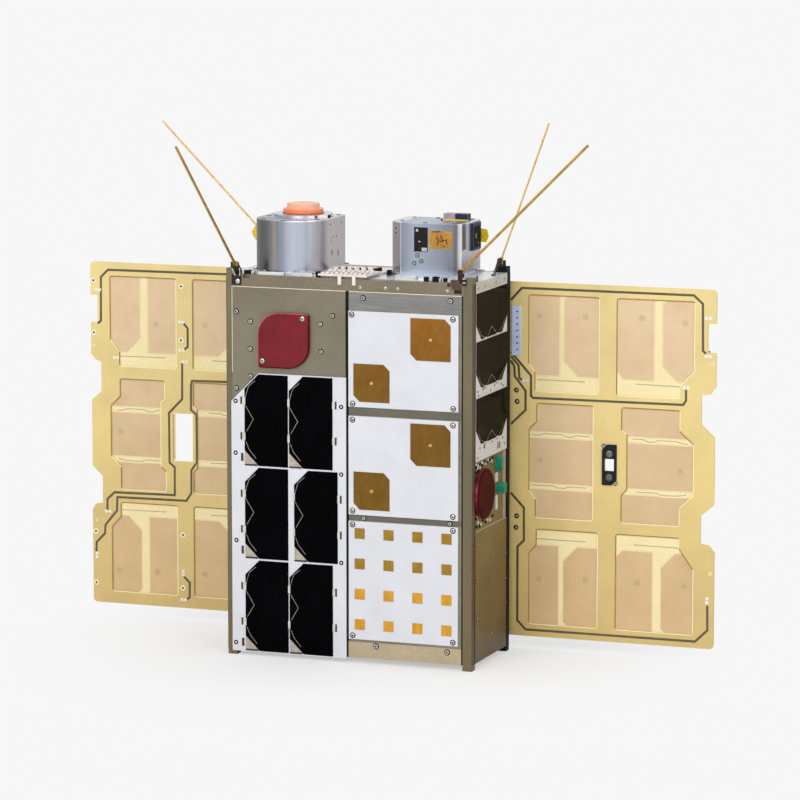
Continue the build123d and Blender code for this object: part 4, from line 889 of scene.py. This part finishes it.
def make_middle_boards():
    """Connectors, pins and small parts on the boards between the cans."""
    pale, dark, gold = (bmesh.new() for _ in range(3))
    for i in range(10):
        x = -25.4 + 4.3 * i
        block(pale, "top", x, x + 2.4, -48.4, -45.0, MIDDLE, 340.2 + 0.5 * (i % 2))
        block(dark, "top", x + 0.9, x + 1.7, -44.2, -43.0, MIDDLE, 339.9 + 0.3 * (i % 3))
        block(gold, "top", x + 0.4, x + 1.2, -39.0, -38.2, MIDDLE, 340.0 + 0.3 * (i % 2))
        block(pale, "top", x, x + 3.0, -30.0 - 2.0 * (i % 2), -27.0, MIDDLE, 341.0)
    for i in range(6):
        block(pale, "top", -24.0 + 6.4 * i, -20.4 + 6.4 * i, -22.0, -18.4, MIDDLE, 342.0 + 0.5 * (i % 3))
        block(dark, "top", -26.0 + 6.8 * i, -22.8 + 6.8 * i, -8.0, 4.0, 337.2, 339.4 + 0.7 * (i % 2))
    piece("middle_board_parts", pale, "white_mask_warm", bevel=0.15)
    piece("middle_board_chips", dark, "recess")
    piece("middle_board_pins", gold, "gilt")


def make_roots():
    """Sleeves, stacked rings, legs and screws at the roots of the four antenna rods."""
    rings, dark, bright, amber = (bmesh.new() for _ in range(4))
    for sign, side in ((1, "front"), (-1, "back")):
        # Root at the right: a stack of rings below the pin, and an amber guide let into the bar
        for k in range(4):
            tube(rings if k % 2 else dark, [(sign * 106.0, -sign * 51.4, up + 1.7 * k) for up in (334.6, 336.0)],
                 1.9 - 0.2 * (k % 2))
        for mesh, a0, a1, b0, b1, low, high in (
                (amber, 93.4, 101.4, 334.6, 338.6, 4.6, 0.4), (amber, 94.6, 103.3, 330.4, 334.8, SINK, 0.3),
                (dark, 96.6, 103.3, 327.0, 330.2, SINK, 0.3),
                # Root at the left: a dark foot with a bright screw and two silver legs
                (dark, -107.4, -99.0, 326.6, 335.4, SINK, 1.0)):
            block(mesh, side, *sorted((sign * a0, sign * a1)), b0, b1, PLATE - low, PLATE + high)
        turned(bright, side, -sign * 101.6, 329.6, [(2.0, PLATE + 0.9), (2.0, PLATE + 1.6), (1.4, PLATE + 1.9),
                                                    (0.7, PLATE + 1.9), (0.7, PLATE + 1.3)], 18)
        for shift in (-3.4, 3.4):
            tube(bright, [(sign * (x + shift * spread), -sign * y, z) for x, spread, y, z in (
                (-103.4, 1, 51.6, 341.4), (-102.6, 0.9, 51.4, 337.6), (-101.9, 0.6, 51.2, 334.4))], 0.55)
    piece("root_rings", rings, "steel")
    piece("root_feet", dark, "dark_root")
    piece("root_legs", bright, "steel")
    piece("root_guides", amber, "amber_guide")


def make_rear():
    """Wiring and screws of the rear."""
    wire_cells("rear_cell", "back", [((x + CELL_W, z + CELL_H), (0, -1), (-1, 0)) for x, z in REAR_CELLS],
               REAR + CELL_T)
    places = [(s * 99.0, z) for s in (-1, 1) for z in (25, 94, 172, 250, 319)]
    screws("rear_board_screws", "back", places + [(0, 22.4), (0, 322.4)], REAR, 1.8, 0.9, collar="steel")
    rivets("rear_board_holes", "dull_grey", "back", [(s * 93.0, z) for s in (-1, 1) for z in (60, 210, 290)],
           REAR, 1.5)


def make_stage():
    """Pale floor, soft lamps and the camera that took the picture."""
    bpy.ops.mesh.primitive_plane_add(size=14, location=(0, 0, 0))
    floor = bpy.context.object
    floor.name = "floor"
    floor.data.materials.append(stage_floor("pale_paper_floor", PAPER))
    world = bpy.data.worlds.new("white_room")
    bpy.context.scene.world = world
    world.use_nodes = True
    tree = world.node_tree
    tree.nodes.clear()
    ray = add(tree, "LightPath").outputs
    either = add(tree, "Math", {0: ray["Is Camera Ray"], 1: ray["Is Glossy Ray"]}, operation="MAXIMUM")
    shown = add(tree, "Math", {0: either, 1: ray["Is Transmission Ray"]}, operation="MAXIMUM")
    lit = add(tree, "Background", {"Color": linear(PAPER), "Strength": 0.44})
    white = add(tree, "Background", {"Color": linear(PAPER), "Strength": 1.0})
    add(tree, "OutputWorld", {"Surface": add(tree, "MixShader", {0: shown, 1: lit, 2: white})})
    for name, place, size, watts in (
            ("key", (-0.3, -3, 2.05), 2.2, 61), ("fill", (2.6, -1.9, 1.3), 2.0, 19), ("top", (0.2, 0.4, 2.8), 2.0, 24)):
        lamp = bpy.data.lights.new(name, "AREA")
        lamp.energy = watts
        lamp.size = size
        obj = bpy.data.objects.new(name, lamp)
        obj.location = place
        obj.rotation_euler = (Vector(LAMP_TARGET) - Vector(place)).to_track_quat("-Z", "Y").to_euler()
        bpy.context.scene.collection.objects.link(obj)
    turn, rise = math.radians(CAMERA["turn"]), math.radians(CAMERA["rise"])
    back = Vector((math.sin(turn) * math.cos(rise), -math.cos(turn) * math.cos(rise), math.sin(rise)))
    right = Vector((math.cos(turn), math.sin(turn), 0))
    up = back.cross(right)
    lens = bpy.data.cameras.new("camera")
    lens.sensor_width = 36
    lens.lens = lens.sensor_width * CAMERA["focal_length"]
    camera = bpy.data.objects.new("camera", lens)
    place = (Vector((0, 0, CAMERA["target_height"])) + back * CAMERA["distance"] + right * CAMERA["aside"]
             + up * CAMERA["above"])
    camera.matrix_world = Matrix.Translation(place) @ Matrix((right, up, back)).transposed().to_4x4()
    bpy.context.scene.collection.objects.link(camera)
    bpy.context.scene.camera = camera
    bpy.context.scene.view_settings.view_transform = "Standard"


def colour_property(name, description, value):
    return bpy.props.FloatVectorProperty(name=name, description=description, subtype="COLOR", size=3, min=0.0,
                                         max=1.0, default=linear(value)[:3])


class SatelliteLook(bpy.types.PropertyGroup):
    """Sizes and colours that a user would change."""
    frame_colour: colour_property("Frame colour", "Colour of the anodised rails", "#70674F")
    board_colour: colour_property("Board colour", "Colour of the solder mask on the boards", "#D6D8DE")
    wing_colour: colour_property("Wing colour", "Colour of the bare laminate of the wings", "#E6D08C")
    cover_colour: colour_property("Cover colour", "Colour of the covers that come off before flight", "#741420")
    track_width: bpy.props.FloatProperty(
        name="Track width", description="Width of the copper tracks on the wings", default=0.0021, min=0.0005,
        max=0.005, subtype="DISTANCE", unit="LENGTH")
    wire_width: bpy.props.FloatProperty(
        name="Wire width", description="Width of the silver wires on the cells", default=0.00045, min=0.0002,
        max=0.002, subtype="DISTANCE", unit="LENGTH")


class SATELLITE_OT_finishes(bpy.types.Operator):
    """Gives each part of the frame its finish"""
    bl_idname = "satellite.finishes"
    bl_label = "Finishes"

    def execute(self, context):
        make_finishes()
        return {"FINISHED"}


class SATELLITE_OT_front_cells(bpy.types.Operator):
    """Adds the wires, tabs and diodes of the front cells"""
    bl_idname = "satellite.front_cells"
    bl_label = "Front cell wiring"

    def execute(self, context):
        make_front_cells()
        return {"FINISHED"}


class SATELLITE_OT_front_screws(bpy.types.Operator):
    """Adds the screws of the front"""
    bl_idname = "satellite.front_screws"
    bl_label = "Front screws"

    def execute(self, context):
        make_front_screws()
        return {"FINISHED"}


class SATELLITE_OT_wings(bpy.types.Operator):
    """Adds tracks, pads, cell backs and cell wiring to both wings"""
    bl_idname = "satellite.wings"
    bl_label = "Wings"

    def execute(self, context):
        make_wing_fronts()
        make_wing_rears()
        return {"FINISHED"}


class SATELLITE_OT_sides(bpy.types.Operator):
    """Adds wiring, screws and pins to the two side faces"""
    bl_idname = "satellite.sides"
    bl_label = "Side faces"

    def execute(self, context):
        make_sides()
        return {"FINISHED"}


class SATELLITE_OT_cans(bpy.types.Operator):
    """Adds tape, windows and screws to the cans"""
    bl_idname = "satellite.cans"
    bl_label = "Cans"

    def execute(self, context):
        make_cans()
        return {"FINISHED"}


class SATELLITE_OT_top_fittings(bpy.types.Operator):
    """Adds the small parts between the cans and at the antenna roots"""
    bl_idname = "satellite.top_fittings"
    bl_label = "Top fittings"

    def execute(self, context):
        make_middle_boards()
        make_roots()
        return {"FINISHED"}


class SATELLITE_OT_rear(bpy.types.Operator):
    """Adds wiring and screws to the rear"""
    bl_idname = "satellite.rear"
    bl_label = "Rear"

    def execute(self, context):
        make_rear()
        return {"FINISHED"}


class SATELLITE_OT_stage(bpy.types.Operator):
    """Sets up the floor, the lamps and the camera"""
    bl_idname = "satellite.stage"
    bl_label = "Stage"

    def execute(self, context):
        make_stage()
        return {"FINISHED"}


STEPS = (SATELLITE_OT_finishes, SATELLITE_OT_front_cells, SATELLITE_OT_front_screws, SATELLITE_OT_wings,
         SATELLITE_OT_sides, SATELLITE_OT_cans, SATELLITE_OT_top_fittings, SATELLITE_OT_rear, SATELLITE_OT_stage)


class SATELLITE_PT_panel(bpy.types.Panel):
    """Lists the steps that dress the satellite"""
    bl_idname = "SATELLITE_PT_panel"
    bl_label = "Satellite"
    bl_space_type = "VIEW_3D"
    bl_region_type = "UI"
    bl_category = "Satellite"

    def draw(self, context):
        look = context.scene.satellite_look
        for name in ("frame_colour", "board_colour", "wing_colour", "cover_colour", "track_width", "wire_width"):
            self.layout.prop(look, name)
        for step in STEPS:
            self.layout.operator(step.bl_idname)


def register():
    for cls in (SatelliteLook, *STEPS, SATELLITE_PT_panel):
        bpy.utils.register_class(cls)
    bpy.types.Scene.satellite_look = bpy.props.PointerProperty(type=SatelliteLook)


def unregister():
    del bpy.types.Scene.satellite_look
    for cls in reversed((SatelliteLook, *STEPS, SATELLITE_PT_panel)):
        bpy.utils.unregister_class(cls)


def main():
    register()
    bpy.ops.satellite.finishes()
    bpy.ops.satellite.front_cells()
    bpy.ops.satellite.front_screws()
    bpy.ops.satellite.wings()
    bpy.ops.satellite.sides()
    bpy.ops.satellite.cans()
    bpy.ops.satellite.top_fittings()
    bpy.ops.satellite.rear()
    bpy.ops.satellite.stage()


if __name__ == "__main__":
    main()
